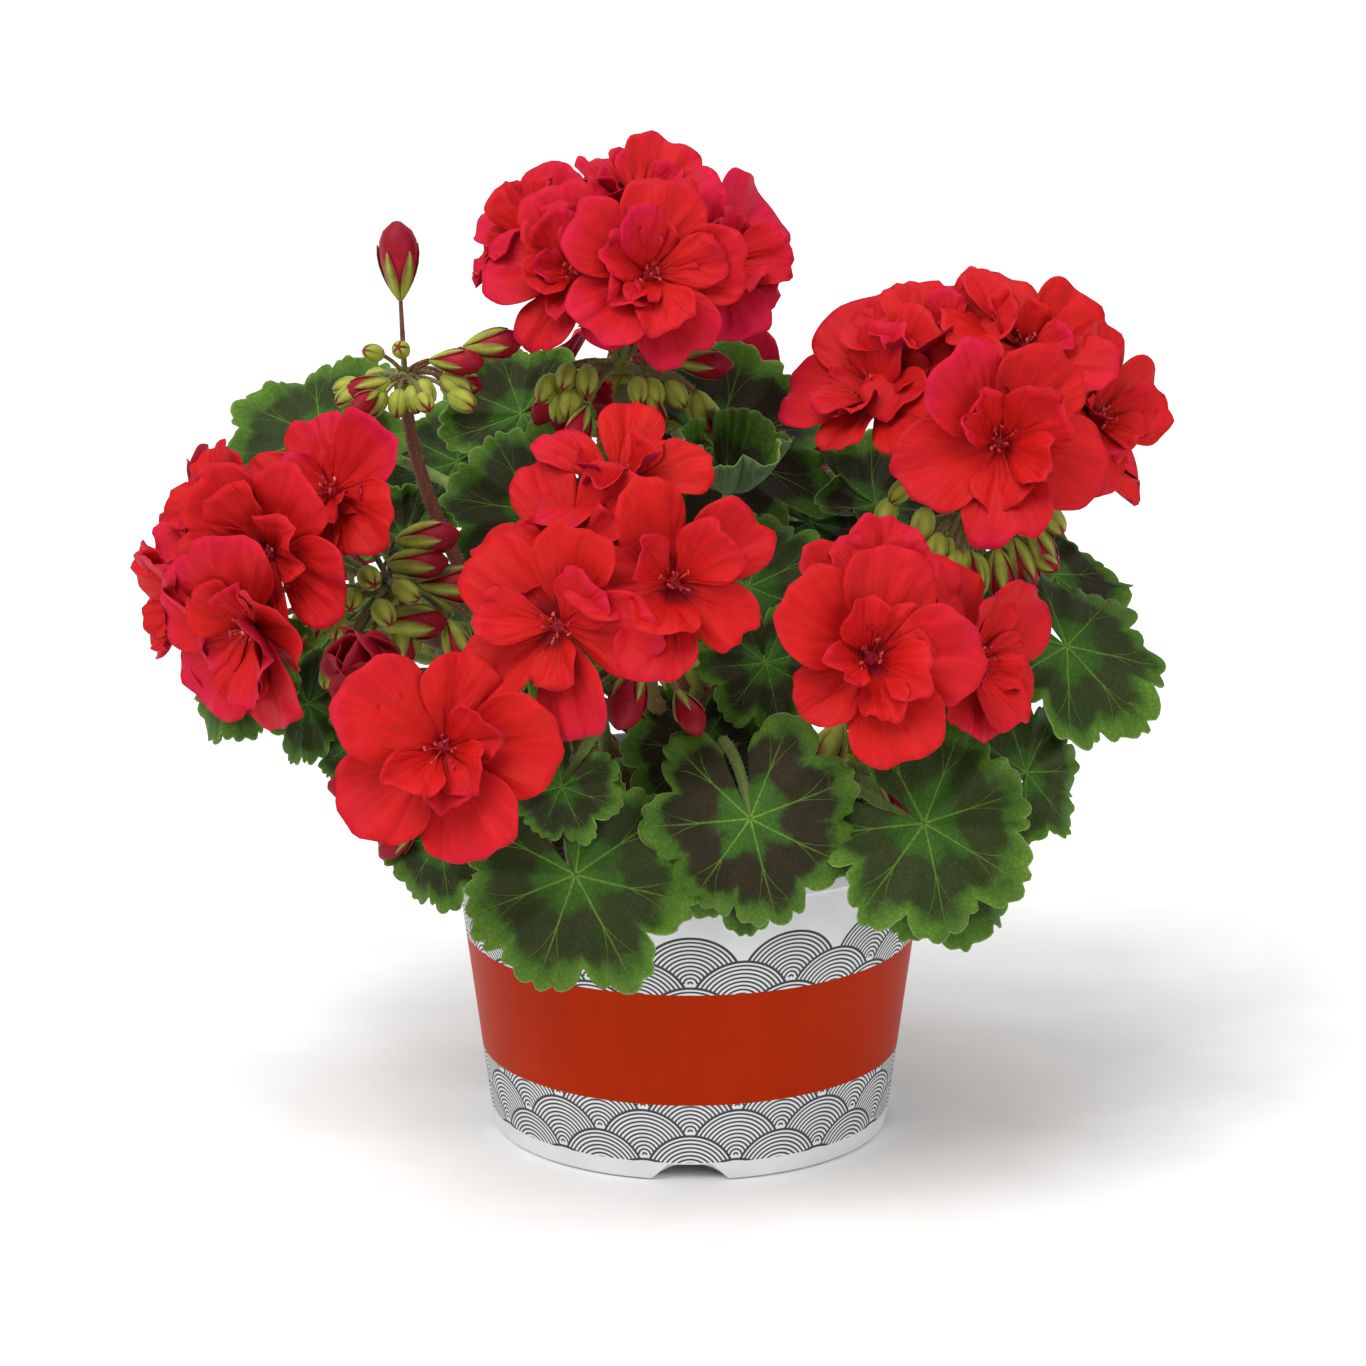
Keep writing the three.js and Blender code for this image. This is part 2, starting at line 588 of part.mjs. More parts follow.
function umbelSolid(head, grow = 0) {
  const centre = vector(head.umbel);
  const size = head.size ?? 1;
  const joint = new THREE.CylinderGeometry(
    umbelHub.radius * size + grow, 0.75 * umbelHub.radius * size + grow, umbelHub.height + 2 * grow, 6,
  );
  joint.rotateX(90 * degree).translate(...centre.toArray());
  const solids = [solidOf(joint)];
  const thick = pedicel.radius + grow;
  const inHub = (toward) =>
    centre.clone().lerp(toward, (0.5 * umbelHub.radius * size) / centre.distanceTo(toward));
  (head.florets ?? []).forEach((floret) => {
    const { at, facing } = floretFrame(head, floret);
    const end = at.clone().addScaledVector(facing, -hub.back - clearance - 0.05);
    solids.push(tube([inHub(end), end], () => thick, pedicel.sides));
  });
  for (let k = 0; k < head.buds; k += 1) {
    const place = budPlace(head, k);
    const crest = place.at.clone().addScaledVector(up, 5 * size).lerp(centre, 0.35);
    solids.push(budSolid(inHub(crest), crest, place, grow));
  }
  if (head.upright) {
    const along = direction(...head.lean);
    const at = centre.clone().addScaledVector(along, head.upright * 0.8);
    const halfway = centre.clone().lerp(at, 0.5);
    solids.push(budSolid(inHub(at), halfway, { at, along, size: 1.45 }, grow));
  }
  return fused(solids);
}

function potSolid() {
  const { height, footRadius, collarRadius, wallTopRadius, wall, floor, padRadius } = pot;
  const shoulder = height - pot.collarHeight;
  const channelEnd = padRadius + pot.channelWidth;
  const lip = collarRadius - wallTopRadius;
  const inside = wallTopRadius - wall;
  const profile = [
    [0, 0],
    [padRadius, 0],
    [padRadius + 1.5, pot.channelRise],
    [channelEnd - 1.2, pot.channelRise],
    [channelEnd, 0],
    [footRadius - 0.8, 0],
    [footRadius, 1.2],
    [wallTopRadius, shoulder],
    [collarRadius, shoulder + 0.6],
    [collarRadius, height],
    [collarRadius - wall - 0.3, height],
    [inside, shoulder - lip],
    [footRadius - 1.6, pot.channelRise + floor],
    [padRadius - 0.3, pot.channelRise + floor],
    [padRadius - 2, floor],
    [0, floor],
  ];
  const points = profile.map(([r, z]) => new THREE.Vector2(r, z));
  const shell = new THREE.LatheGeometry(points, pot.sides);
  shell.rotateX(90 * degree);
  let solid = solidOf(shell);
  for (let k = 0; k < drain.count; k += 1) {
    const hole = new THREE.CylinderGeometry(drain.radius, drain.radius, 12, drain.sides);
    hole.rotateX(90 * degree).translate(0, -drain.ring, 4);
    hole.rotateZ((360 * degree * k) / drain.count);
    solid = solid.subtract(solidOf(hole));
  }
  for (let k = 0; k < notch.count; k += 1) {
    const shape = new THREE.Shape([
      new THREE.Vector2(-notch.bottomHalf, -1),
      new THREE.Vector2(notch.bottomHalf, -1),
      new THREE.Vector2(notch.topHalf, notch.rise),
      new THREE.Vector2(-notch.topHalf, notch.rise),
    ]);
    const cut = new THREE.ExtrudeGeometry(shape, { depth: notch.depth, bevelEnabled: false });
    cut.rotateX(90 * degree).translate(0, -channelEnd + 1, 0);
    cut.rotateZ((360 * degree * k) / notch.count);
    solid = solid.subtract(solidOf(cut));
  }
  return solid;
}

function compostSolid() {
  const rise = pot.channelRise + pot.floor + clearance;
  const slope = (pot.wallTopRadius - pot.footRadius) / (pot.height - pot.collarHeight);
  const radiusAt = (z) => pot.footRadius + slope * z - pot.wall - 2 * clearance - 0.3;
  const profile = [
    [0, pot.floor + clearance],
    [pot.padRadius - 3, pot.floor + clearance],
    [pot.padRadius - 1, rise],
    [radiusAt(rise) - 0.6, rise],
    [radiusAt(compost.top), compost.top],
    [0.55 * pot.footRadius, compost.top + compost.dome * 0.8],
    [0, compost.top + compost.dome],
  ];
  const body = new THREE.LatheGeometry(profile.map(([r, z]) => new THREE.Vector2(r, z)), compost.sides);
  body.rotateX(90 * degree);
  const hole = new THREE.CylinderGeometry(compost.holeRadius, compost.holeRadius, 40, 8);
  hole.rotateX(90 * degree).translate(0, 0, compost.top - compost.holeDepth + 20);
  return solidOf(body).subtract(solidOf(hole));
}

const plant = new THREE.Group();
const keepOut = []; // grown copies of what is already placed

function place(name, solid, material) {
  const mesh = solid.simplify(flatness).getMesh();
  const geometry = new THREE.BufferGeometry();
  geometry.setAttribute('position', new THREE.Float32BufferAttribute(mesh.vertProperties, 3));
  geometry.setIndex(new THREE.BufferAttribute(mesh.triVerts, 1));
  const shown = geometry.toNonIndexed();
  shown.computeVertexNormals();
  const piece = new THREE.Mesh(shown, material);
  piece.name = name;
  plant.add(piece);
}

// Cuts a solid clear of every grown neighbour that it reaches into.
function cleared(solid) {
  let left = solid;
  for (const neighbour of keepOut) {
    if (left.intersect(neighbour).volume() > touch) left = left.subtract(neighbour);
  }
  return largest(left);
}

place('pot', potSolid(), materials.plastic);
place('compost', compostSolid(), materials.soil);
place('stems', stemsSolid(), materials.stem);
keepOut.push(stemsSolid(clearance));

for (const head of [...heads, ...budHeads]) {
  const name = head.florets ? `${head.name}_umbel` : head.name;
  place(name, cleared(umbelSolid(head)), materials.bud);
  keepOut.push(umbelSolid(head, clearance));
}
for (const head of heads) {
  const florets = head.florets.map((_, i) => i);
  const petals = (chosen, grow) =>
    fused(chosen.map((i) => floretSolid(head, head.florets[i], i, grow)));
  const together = florets.filter((i) => i !== head.loose);
  place(`${head.name}_petals`, cleared(petals(together, 0)), materials.petal);
  if (head.loose) {
    place(`${head.name}_young_petals`, cleared(petals([head.loose], 0)), materials.petal);
  }
  keepOut.push(petals(florets, clearance));
}
leaves.forEach((leaf, i) => {
  const name = `leaf_${String(i + 1).padStart(2, '0')}`;
  place(name, cleared(bladeSolid(leaf, i)), materials.leaf);
  keepOut.push(bladeSolid(leaf, i, clearance));
});

export default plant;
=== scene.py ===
import math

import bmesh
import bpy
import numpy as np
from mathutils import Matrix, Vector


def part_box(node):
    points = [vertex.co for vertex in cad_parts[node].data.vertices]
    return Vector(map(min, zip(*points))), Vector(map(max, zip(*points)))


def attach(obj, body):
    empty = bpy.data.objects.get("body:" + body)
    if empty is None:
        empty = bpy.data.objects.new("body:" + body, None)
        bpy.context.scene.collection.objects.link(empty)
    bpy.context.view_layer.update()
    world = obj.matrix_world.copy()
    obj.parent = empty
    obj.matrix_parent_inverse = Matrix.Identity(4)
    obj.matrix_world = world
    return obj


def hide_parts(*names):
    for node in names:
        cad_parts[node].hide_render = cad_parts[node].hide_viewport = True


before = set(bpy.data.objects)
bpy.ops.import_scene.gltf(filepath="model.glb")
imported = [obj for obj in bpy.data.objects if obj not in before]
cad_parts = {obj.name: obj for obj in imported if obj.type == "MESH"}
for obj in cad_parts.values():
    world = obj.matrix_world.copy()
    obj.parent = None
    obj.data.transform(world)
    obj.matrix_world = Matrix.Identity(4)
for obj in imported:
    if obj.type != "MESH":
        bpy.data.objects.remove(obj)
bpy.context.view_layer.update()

mm = 0.001
degree = math.pi / 180
wholeTurn = 2 * math.pi
drawPhase = 6.3  # a draw from 0 to 1 becomes a phase of about a whole turn
up = np.array([0.0, 0.0, 1.0])

scene = bpy.context.scene
scene.view_settings.view_transform = "Standard"  # keeps the petals' red as saturated as it is


# sRGB hex to the linear colour that the shaders take
def linear(code):
    parts = [int(code[i:i + 2], 16) / 255 for i in (1, 3, 5)]
    return tuple(c / 12.92 if c <= 0.04045 else ((c + 0.055) / 1.055) ** 2.4 for c in parts) + (1.0,)


# A node given as a value links its first output, a socket links itself, the rest are constants
def fill(tree, node, values):
    for name, value in values.items():
        socket = node.inputs[name]
        if isinstance(value, bpy.types.Node):
            tree.links.new(value.outputs[0], socket)
        elif isinstance(value, bpy.types.NodeSocket):
            tree.links.new(value, socket)
        else:
            socket.default_value = value


# One node with its settings and its links
def add(tree, kind, values=None, **settings):
    node = tree.nodes.new(kind)
    for name, value in settings.items():
        setattr(node, name, value)
    fill(tree, node, values or {})
    return node


def newMaterial(name):
    material = bpy.data.materials.new(name)
    material.use_nodes = True
    tree = material.node_tree
    shader = next(n for n in tree.nodes if n.type == "BSDF_PRINCIPLED")
    return material, tree, shader


def setRamp(node, stops):
    ramp = node.color_ramp
    while len(ramp.elements) > 2:
        ramp.elements.remove(ramp.elements[-1])
    for element, (at, color) in zip(ramp.elements, (stops[0], stops[-1])):
        element.position, element.color = at, linear(color)
    for at, color in stops[1:-1]:
        ramp.elements.new(at).color = linear(color)


# A repeatable number from 0 to 1 for draw k of a seed
def chance(seed, k):
    s = math.sin(seed * 12.9898 + k * 78.233) * 43758.5453
    return s - math.floor(s)


def unit(v):
    v = np.asarray(v, float)
    return v / np.linalg.norm(v)


# Azimuth 0 looks out of the front, -Y, and 90 out of the right side, +X
def direction(azimuth, elevation):
    a, e = azimuth * degree, elevation * degree
    return np.array([math.sin(a) * math.cos(e), -math.cos(a) * math.cos(e), math.sin(e)])


def turnAbout(v, axis, angle):
    c, s = math.cos(angle), math.sin(angle)
    return v * c + np.cross(axis, v) * s + axis * np.dot(axis, v) * (1 - c)


# Coordinates turned from their first axis towards their second
def spun(x, y, angle):
    return x * math.cos(angle) - y * math.sin(angle), x * math.sin(angle) + y * math.cos(angle)


# The value that a draw from 0 to 1 picks between two limits
def between(limits, draw):
    return limits[0] + (limits[1] - limits[0]) * draw


# Layers of a grid, one for each coordinate, stretched to one size
def gridOf(*layers):
    return np.stack(np.broadcast_arrays(*layers), axis=2)


# Local points, one a row of the last axis, into a frame with that x axis and z axis
def placed(points, origin, xAxis, zAxis):
    basis = np.array([xAxis, np.cross(zAxis, xAxis), zAxis])
    return points @ basis + origin


# A thin closed sheet round a grid of points. Its upper side looks along rows x columns.
# A pole is a first row whose points are all one.
def sheet(grid, thickness, uv, tint=0.5, pole=False, slots=(0, 0)):
    rows, cols = grid.shape[:2]
    alongRows = np.gradient(grid, axis=0)
    alongCols = np.gradient(grid, axis=1)
    normal = np.cross(alongRows, alongCols)
    if pole:
        normal[0] = normal[1].mean(axis=0)
    length = np.linalg.norm(normal, axis=2, keepdims=True)
    normal = normal / np.maximum(length, 1e-9)
    half = np.broadcast_to(np.asarray(thickness, float) / 2, (rows, cols))[..., None]
    ids = np.arange(rows * cols).reshape(rows, cols)
    if pole:
        ids[0] = ids[0, 0]
    count = rows * cols
    verts = np.concatenate([(grid + normal * half).reshape(-1, 3), (grid - normal * half).reshape(-1, 3)])
    a, b = ids[:-1, :-1].ravel(), ids[1:, :-1].ravel()
    c, d = ids[1:, 1:].ravel(), ids[:-1, 1:].ravel()
    faces, slot = [], []
    for quad in np.stack([a, b, c, d], axis=1).tolist():
        upper = quad[:3] if quad[0] == quad[3] else quad
        faces.append(upper)
        slot.append(slots[0])
        faces.append([i + count for i in reversed(upper)])
        slot.append(slots[1])
    loop = ids[:, 0].tolist() + ids[-1, 1:].tolist() + ids[-2::-1, -1].tolist()
    if not pole:
        loop += ids[0, -2:0:-1].tolist()
    elif loop[-1] == loop[0]:
        loop.pop()
    for i, p in enumerate(loop):
        q = loop[(i + 1) % len(loop)]
        faces.append([q, p, p + count, q + count])
        slot.append(slots[0])
    flat = np.broadcast_to(uv, (rows, cols, 2)).reshape(-1, 2)
    back = np.concatenate([np.zeros(count), np.ones(count)])
    return {"verts": verts, "faces": faces, "uv": np.concatenate([flat, flat]), "slot": slot,
            "tint": np.full(2 * count, tint), "back": back}


# A closed body turned about its local z axis, from the radius at each height
def turned(heights, radii, sides, tint=0.5, slot=0, ridge=0.0, ridges=5):
    angle = np.linspace(0, wholeTurn, sides, endpoint=False)
    radius = np.asarray(radii)[:, None] * (1 + ridge * np.cos(ridges * angle)[None, :])
    height = np.asarray(heights, float)[:, None]
    verts = gridOf(radius * np.cos(angle), radius * np.sin(angle), height).reshape(-1, 3)
    rows = len(heights)
    ids = np.arange(rows * sides).reshape(rows, sides)
    faces = []
    for i in range(rows - 1):
        for j in range(sides):
            k = (j + 1) % sides
            faces.append([int(ids[i, j]), int(ids[i, k]), int(ids[i + 1, k]), int(ids[i + 1, j])])
    faces.append(ids[0, ::-1].tolist())
    faces.append(ids[-1].tolist())
    uv = gridOf(np.linspace(0, 1, sides)[None, :], np.linspace(0, 1, rows)[:, None]).reshape(-1, 2)
    return {"verts": verts, "faces": faces, "uv": uv, "slot": [slot] * len(faces),
            "tint": np.full(len(verts), tint), "back": np.zeros(len(verts))}


def newObject(name, data):
    item = bpy.data.objects.new(name, data)
    scene.collection.objects.link(item)
    return item


# Parts in millimetres become one object in metres
def build(name, parts, materials):
    offset, faces, slots = 0, [], []
    for part in parts:
        faces += [[i + offset for i in face] for face in part["faces"]]
        slots += part["slot"]
        offset += len(part["verts"])
    verts = np.concatenate([part["verts"] for part in parts]) * mm
    mesh = bpy.data.meshes.new(name)
    mesh.from_pydata(verts.tolist(), [], faces)
    for material in materials:
        mesh.materials.append(material)
    mesh.polygons.foreach_set("material_index", slots)
    mesh.polygons.foreach_set("use_smooth", [True] * len(faces))
    corner = np.zeros(len(mesh.loops), int)
    mesh.loops.foreach_get("vertex_index", corner)
    uv = np.concatenate([part["uv"] for part in parts])[corner]
    for face in mesh.polygons:
        if face.loop_total == 3:  # at a blade's middle, which has the share of the triangle's far side
            tip = [i for i in face.loop_indices if uv[i, 1] == 0]
            far = [uv[i, 0] for i in face.loop_indices if uv[i, 1] > 0]
            uv[tip, 0] = sum(far) / max(len(far), 1)
    mesh.uv_layers.new(name="own").data.foreach_set("uv", uv.ravel().astype(np.float32))
    for label in ("tint", "back"):
        values = np.concatenate([part[label] for part in parts]).astype(np.float32)
        mesh.attributes.new(label, "FLOAT", "POINT").data.foreach_set("value", values)
    mesh.validate()
    mesh.update()
    return newObject(name, mesh)


def carry(piece, slot, *replaced):
    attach(piece, "root")
    if replaced:
        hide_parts(*replaced)


# Turns what the modifiers make of an object into a plain mesh
def baked(piece):
    graph = bpy.context.evaluated_depsgraph_get()
    mesh = bpy.data.meshes.new_from_object(piece.evaluated_get(graph))
    piece.modifiers.clear()
    piece.data = mesh
    return piece


# A geometry tree with named number inputs and a seed, and the outputs of its input node
def geometryTree(name, sizes, seed=None):
    tree = bpy.data.node_groups.new(name, "GeometryNodeTree")
    tree.interface.new_socket("Geometry", in_out="INPUT", socket_type="NodeSocketGeometry")
    for label, value in sizes.items():
        tree.interface.new_socket(label, in_out="INPUT", socket_type="NodeSocketFloat").default_value = value
    if seed is not None:
        tree.interface.new_socket("Seed", in_out="INPUT", socket_type="NodeSocketInt").default_value = seed
    tree.interface.new_socket("Geometry", in_out="OUTPUT", socket_type="NodeSocketGeometry")
    return tree, add(tree, "NodeGroupInput").outputs


# Runs a geometry tree on an object. Its inputs are set by their identifiers.
def grown(piece, tree, values):
    grower = piece.modifiers.new(tree.name, "NODES")
    grower.node_group = tree
    names = {item.name: item.identifier for item in tree.interface.items_tree if item.in_out == "INPUT"}
    for label, value in values.items():
        grower[names[label]] = value
    return baked(piece)


print("helpers ready")


# The camera looks down 16 degrees from the front, as the photograph's does
view = {"lens": 201.3, "sensor": 36, "at": (-0.00175, -1.8, 0.637), "tilt": 73.74}
camera = newObject("camera", bpy.data.cameras.new("camera"))
camera.data.lens = view["lens"]
camera.data.sensor_width = view["sensor"]
camera.location = view["at"]
camera.rotation_euler = (view["tilt"] * degree, 0, 0)
scene.camera = camera

# A wide key light from the upper left front, an even white room and three weak soft lamps
studio = {"world": 0.58, "sun": 2.15, "sunAt": (-0.45, -0.6, 1.25), "sunWide": 40.0,
          "aim": (0, 0, 0.12), "floorSize": 14.0, "floorDrop": 0.0002, "paper": ("#FAFAFA", "#F3F3F2")}
lamps = [
    {"name": "fill", "at": (1.1, -1.3, 0.7), "size": 0.9, "power": 5},
    {"name": "top", "at": (0.1, 0.5, 1.6), "size": 1.2, "power": 6},
    {"name": "left", "at": (-1.4, -0.7, 0.9), "size": 0.9, "power": 2.5},
]
world = bpy.data.worlds.new("studio")
world.use_nodes = True
background = world.node_tree.nodes["Background"]
background.inputs["Color"].default_value = (1, 1, 1, 1)
background.inputs["Strength"].default_value = studio["world"]
scene.world = world


def placeLight(name, light, at):
    item = newObject(name, light)
    item.location = at
    item.rotation_mode = "QUATERNION"
    item.rotation_quaternion = Vector(np.array(studio["aim"]) - np.array(at)).to_track_quat("-Z", "Y")


sun = bpy.data.lights.new("key", "SUN")
sun.energy, sun.angle = studio["sun"], studio["sunWide"] * degree
placeLight("key", sun, studio["sunAt"])
for lamp in lamps:
    light = bpy.data.lights.new(lamp["name"], "AREA")
    light.shape, light.size, light.energy = "DISK", lamp["size"], lamp["power"]
    placeLight(lamp["name"], light, lamp["at"])

floorMaterial, tree, shader = newMaterial("paper floor")
grain = add(tree, "ShaderNodeTexNoise", {"Scale": 400.0, "Detail": 2.0})
tone = add(tree, "ShaderNodeValToRGB", {"Fac": grain})
setRamp(tone, [(0.3, studio["paper"][0]), (0.7, studio["paper"][1])])
fill(tree, shader, {"Base Color": tone, "Roughness": 0.9})
bpy.ops.mesh.primitive_plane_add(size=studio["floorSize"], location=(0, 0, -studio["floorDrop"]))
floor = bpy.context.object
floor.name = "floor"
floor.data.materials.append(floorMaterial)
print("camera, lights and floor ready")


# Petals: velvety, orange-red in the middle and crimson at the margin and the back.
# The share from the root, soft blotches and each petal's own draw shift it towards crimson;
# a front head's shift below 0 moves it to a darker red, which is painted shade.
petalLook = {"outward": 0.7, "blotch": 0.4, "draw": 0.42, "back": 0.12}


def petalMaterial():
    material, tree, shader = newMaterial("velvet petal")  # matt cells scatter light, with hardly a gloss
    uv = add(tree, "ShaderNodeSeparateXYZ", {0: add(tree, "ShaderNodeUVMap", uv_map="own")})
    place = add(tree, "ShaderNodeTexCoord").outputs["Object"]
    tint = add(tree, "ShaderNodeAttribute", attribute_name="tint").outputs["Fac"]
    back = add(tree, "ShaderNodeAttribute", attribute_name="back").outputs["Fac"]
    blotch = add(tree, "ShaderNodeTexNoise", {"Vector": place, "Scale": 90.0, "Detail": 2.0})
    shift = add(tree, "ShaderNodeMath", {0: blotch, 1: 0.5}, operation="SUBTRACT")
    outward = add(tree, "ShaderNodeMath", {0: uv.outputs["Y"], 1: petalLook["outward"]},
                  operation="MULTIPLY")
    shift = add(tree, "ShaderNodeMath", {0: shift, 1: petalLook["blotch"], 2: outward},
                operation="MULTIPLY_ADD")
    shift = add(tree, "ShaderNodeMath", {0: tint, 1: petalLook["draw"], 2: shift}, operation="MULTIPLY_ADD")
    shift = add(tree, "ShaderNodeMath", {0: shift, 1: petalLook["back"]}, operation="SUBTRACT")
    # the dark red low end is reached at some petal roots, and through the front heads' shifts below 0 it is
    # painted shade
    face = add(tree, "ShaderNodeValToRGB", {"Fac": shift})
    setRamp(face, [(0.0, "#7C0A12"), (0.12, "#B41310"), (0.42, "#C21A17"), (0.74, "#BF1820"),
                   (1.0, "#C41439")])
    rear = add(tree, "ShaderNodeValToRGB", {"Fac": uv.outputs["Y"]})
    setRamp(rear, [(0.0, "#8E3034"), (0.3, "#931222"), (1.0, "#A01230")])
    color = add(tree, "ShaderNodeMix", {"Factor": back, "A": face, "B": rear}, data_type="RGBA")
    # veins fan out from the root about 1 mm apart at the margin
    onPetal = add(tree, "ShaderNodeCombineXYZ", {0: uv.outputs["X"], 1: uv.outputs["Y"], 2: tint})
    fan = add(tree, "ShaderNodeVectorMath", {0: onPetal, 1: (24.0, 1.6, 40.0)}, operation="MULTIPLY")
    streak = add(tree, "ShaderNodeTexNoise", {"Vector": fan, "Scale": 1.0, "Detail": 2.0})
    veins = add(tree, "ShaderNodeMapRange", {"Value": streak, "From Min": 0.35, "From Max": 0.68,
                "To Min": 0.9, "To Max": 1.05})
    shaded = add(tree, "ShaderNodeVectorMath", {0: color.outputs[2], 1: veins}, operation="MULTIPLY")
    # and soft creases about 5 mm apart run along the petal
    crease = add(tree, "ShaderNodeVectorMath", {0: onPetal, 1: (5.0, 1.8, 70.0)}, operation="MULTIPLY")
    folds = add(tree, "ShaderNodeTexNoise", {"Vector": crease, "Scale": 1.0, "Detail": 1.0,
                "Distortion": 0.6})
    folded = add(tree, "ShaderNodeBump", {"Height": folds, "Strength": 0.8, "Distance": 0.0022})
    bump = add(tree, "ShaderNodeBump", {"Height": streak, "Strength": 0.6, "Distance": 0.0004,
               "Normal": folded})
    fill(tree, shader, {
        "Base Color": shaded, "Normal": bump, "Roughness": 0.58, "Specular IOR Level": 0.1,
        "Sheen Weight": 0.03, "Sheen Roughness": 0.4, "Sheen Tint": linear("#FF4A50"),
        "Subsurface Weight": 0.12, "Subsurface Radius": (0.0022, 0.0004, 0.0003), "Subsurface Scale": 1.0})
    return material


# Leaf blades: a soft matt cuticle with fine hairs. Their own map holds the share round the
# margin and the depth from the middle to the margin, so veins and zone follow the blade.
# forks: where a vein leaves the main one, how far aside it ends, its width in millimetres
veinPlan = {"lobes": 7, "halfLobe": 0.4438, "radius": 27.0, "tapering": 0.6, "fadeIn": 0.03,
            "forks": [(0.0, 0.0, 0.55), (0.42, 0.66, 0.28), (0.7, 0.34, 0.2), (0.68, 1.0, 0.2)]}
# zoneStart, zoneEnd: where the dark ring sets in and fades, as shares of the blade's depth.
# cloud, scallop: how far soft clouds and the lobes shift it
leafLook = {"zoneStart": (0.3, 0.44), "zoneEnd": (0.72, 0.86), "cloud": 0.5, "scallop": 0.07}


# How strong the veins are: 1 on a vein, 0 between them
def veinMask(tree, share, depth, widen=1.0):
    lobe = add(tree, "ShaderNodeMath", {0: share, 1: float(veinPlan["lobes"])}, operation="MULTIPLY")
    across = add(tree, "ShaderNodeMath", {0: lobe}, operation="FRACT")
    across = add(tree, "ShaderNodeMath", {0: across, 1: 2.0, 2: -1.0}, operation="MULTIPLY_ADD")
    across = add(tree, "ShaderNodeMath", {0: across}, operation="ABSOLUTE")
    reach = add(tree, "ShaderNodeMath", {0: depth, 1: veinPlan["halfLobe"] * veinPlan["radius"]},
                operation="MULTIPLY")
    strongest = None
    for start, spread, width in veinPlan["forks"]:
        beyond = add(tree, "ShaderNodeMath", {0: depth, 1: start}, operation="SUBTRACT")
        aside = add(tree, "ShaderNodeMath", {0: beyond, 1: spread / (1 - start)}, operation="MULTIPLY")
        off = add(tree, "ShaderNodeMath", {0: across, 1: aside}, operation="SUBTRACT")
        off = add(tree, "ShaderNodeMath", {0: off}, operation="ABSOLUTE")
        distance = add(tree, "ShaderNodeMath", {0: off, 1: reach}, operation="MULTIPLY")
        wide = width * widen
        thinning = add(tree, "ShaderNodeMath", {0: depth, 1: -veinPlan["tapering"] * wide, 2: wide},
                       operation="MULTIPLY_ADD")
        line = add(tree, "ShaderNodeMapRange", {"Value": distance, "From Min": 0.0, "From Max": thinning,
                   "To Min": 1.0, "To Max": 0.0}, interpolation_type="SMOOTHSTEP")
        begun = add(tree, "ShaderNodeMapRange", {"Value": beyond, "From Min": 0.0,
                    "From Max": veinPlan["fadeIn"]})
        line = add(tree, "ShaderNodeMath", {0: line, 1: begun}, operation="MULTIPLY")
        if strongest is None:
            strongest = line
        else:
            strongest = add(tree, "ShaderNodeMath", {0: strongest, 1: line}, operation="MAXIMUM")
    return strongest, across


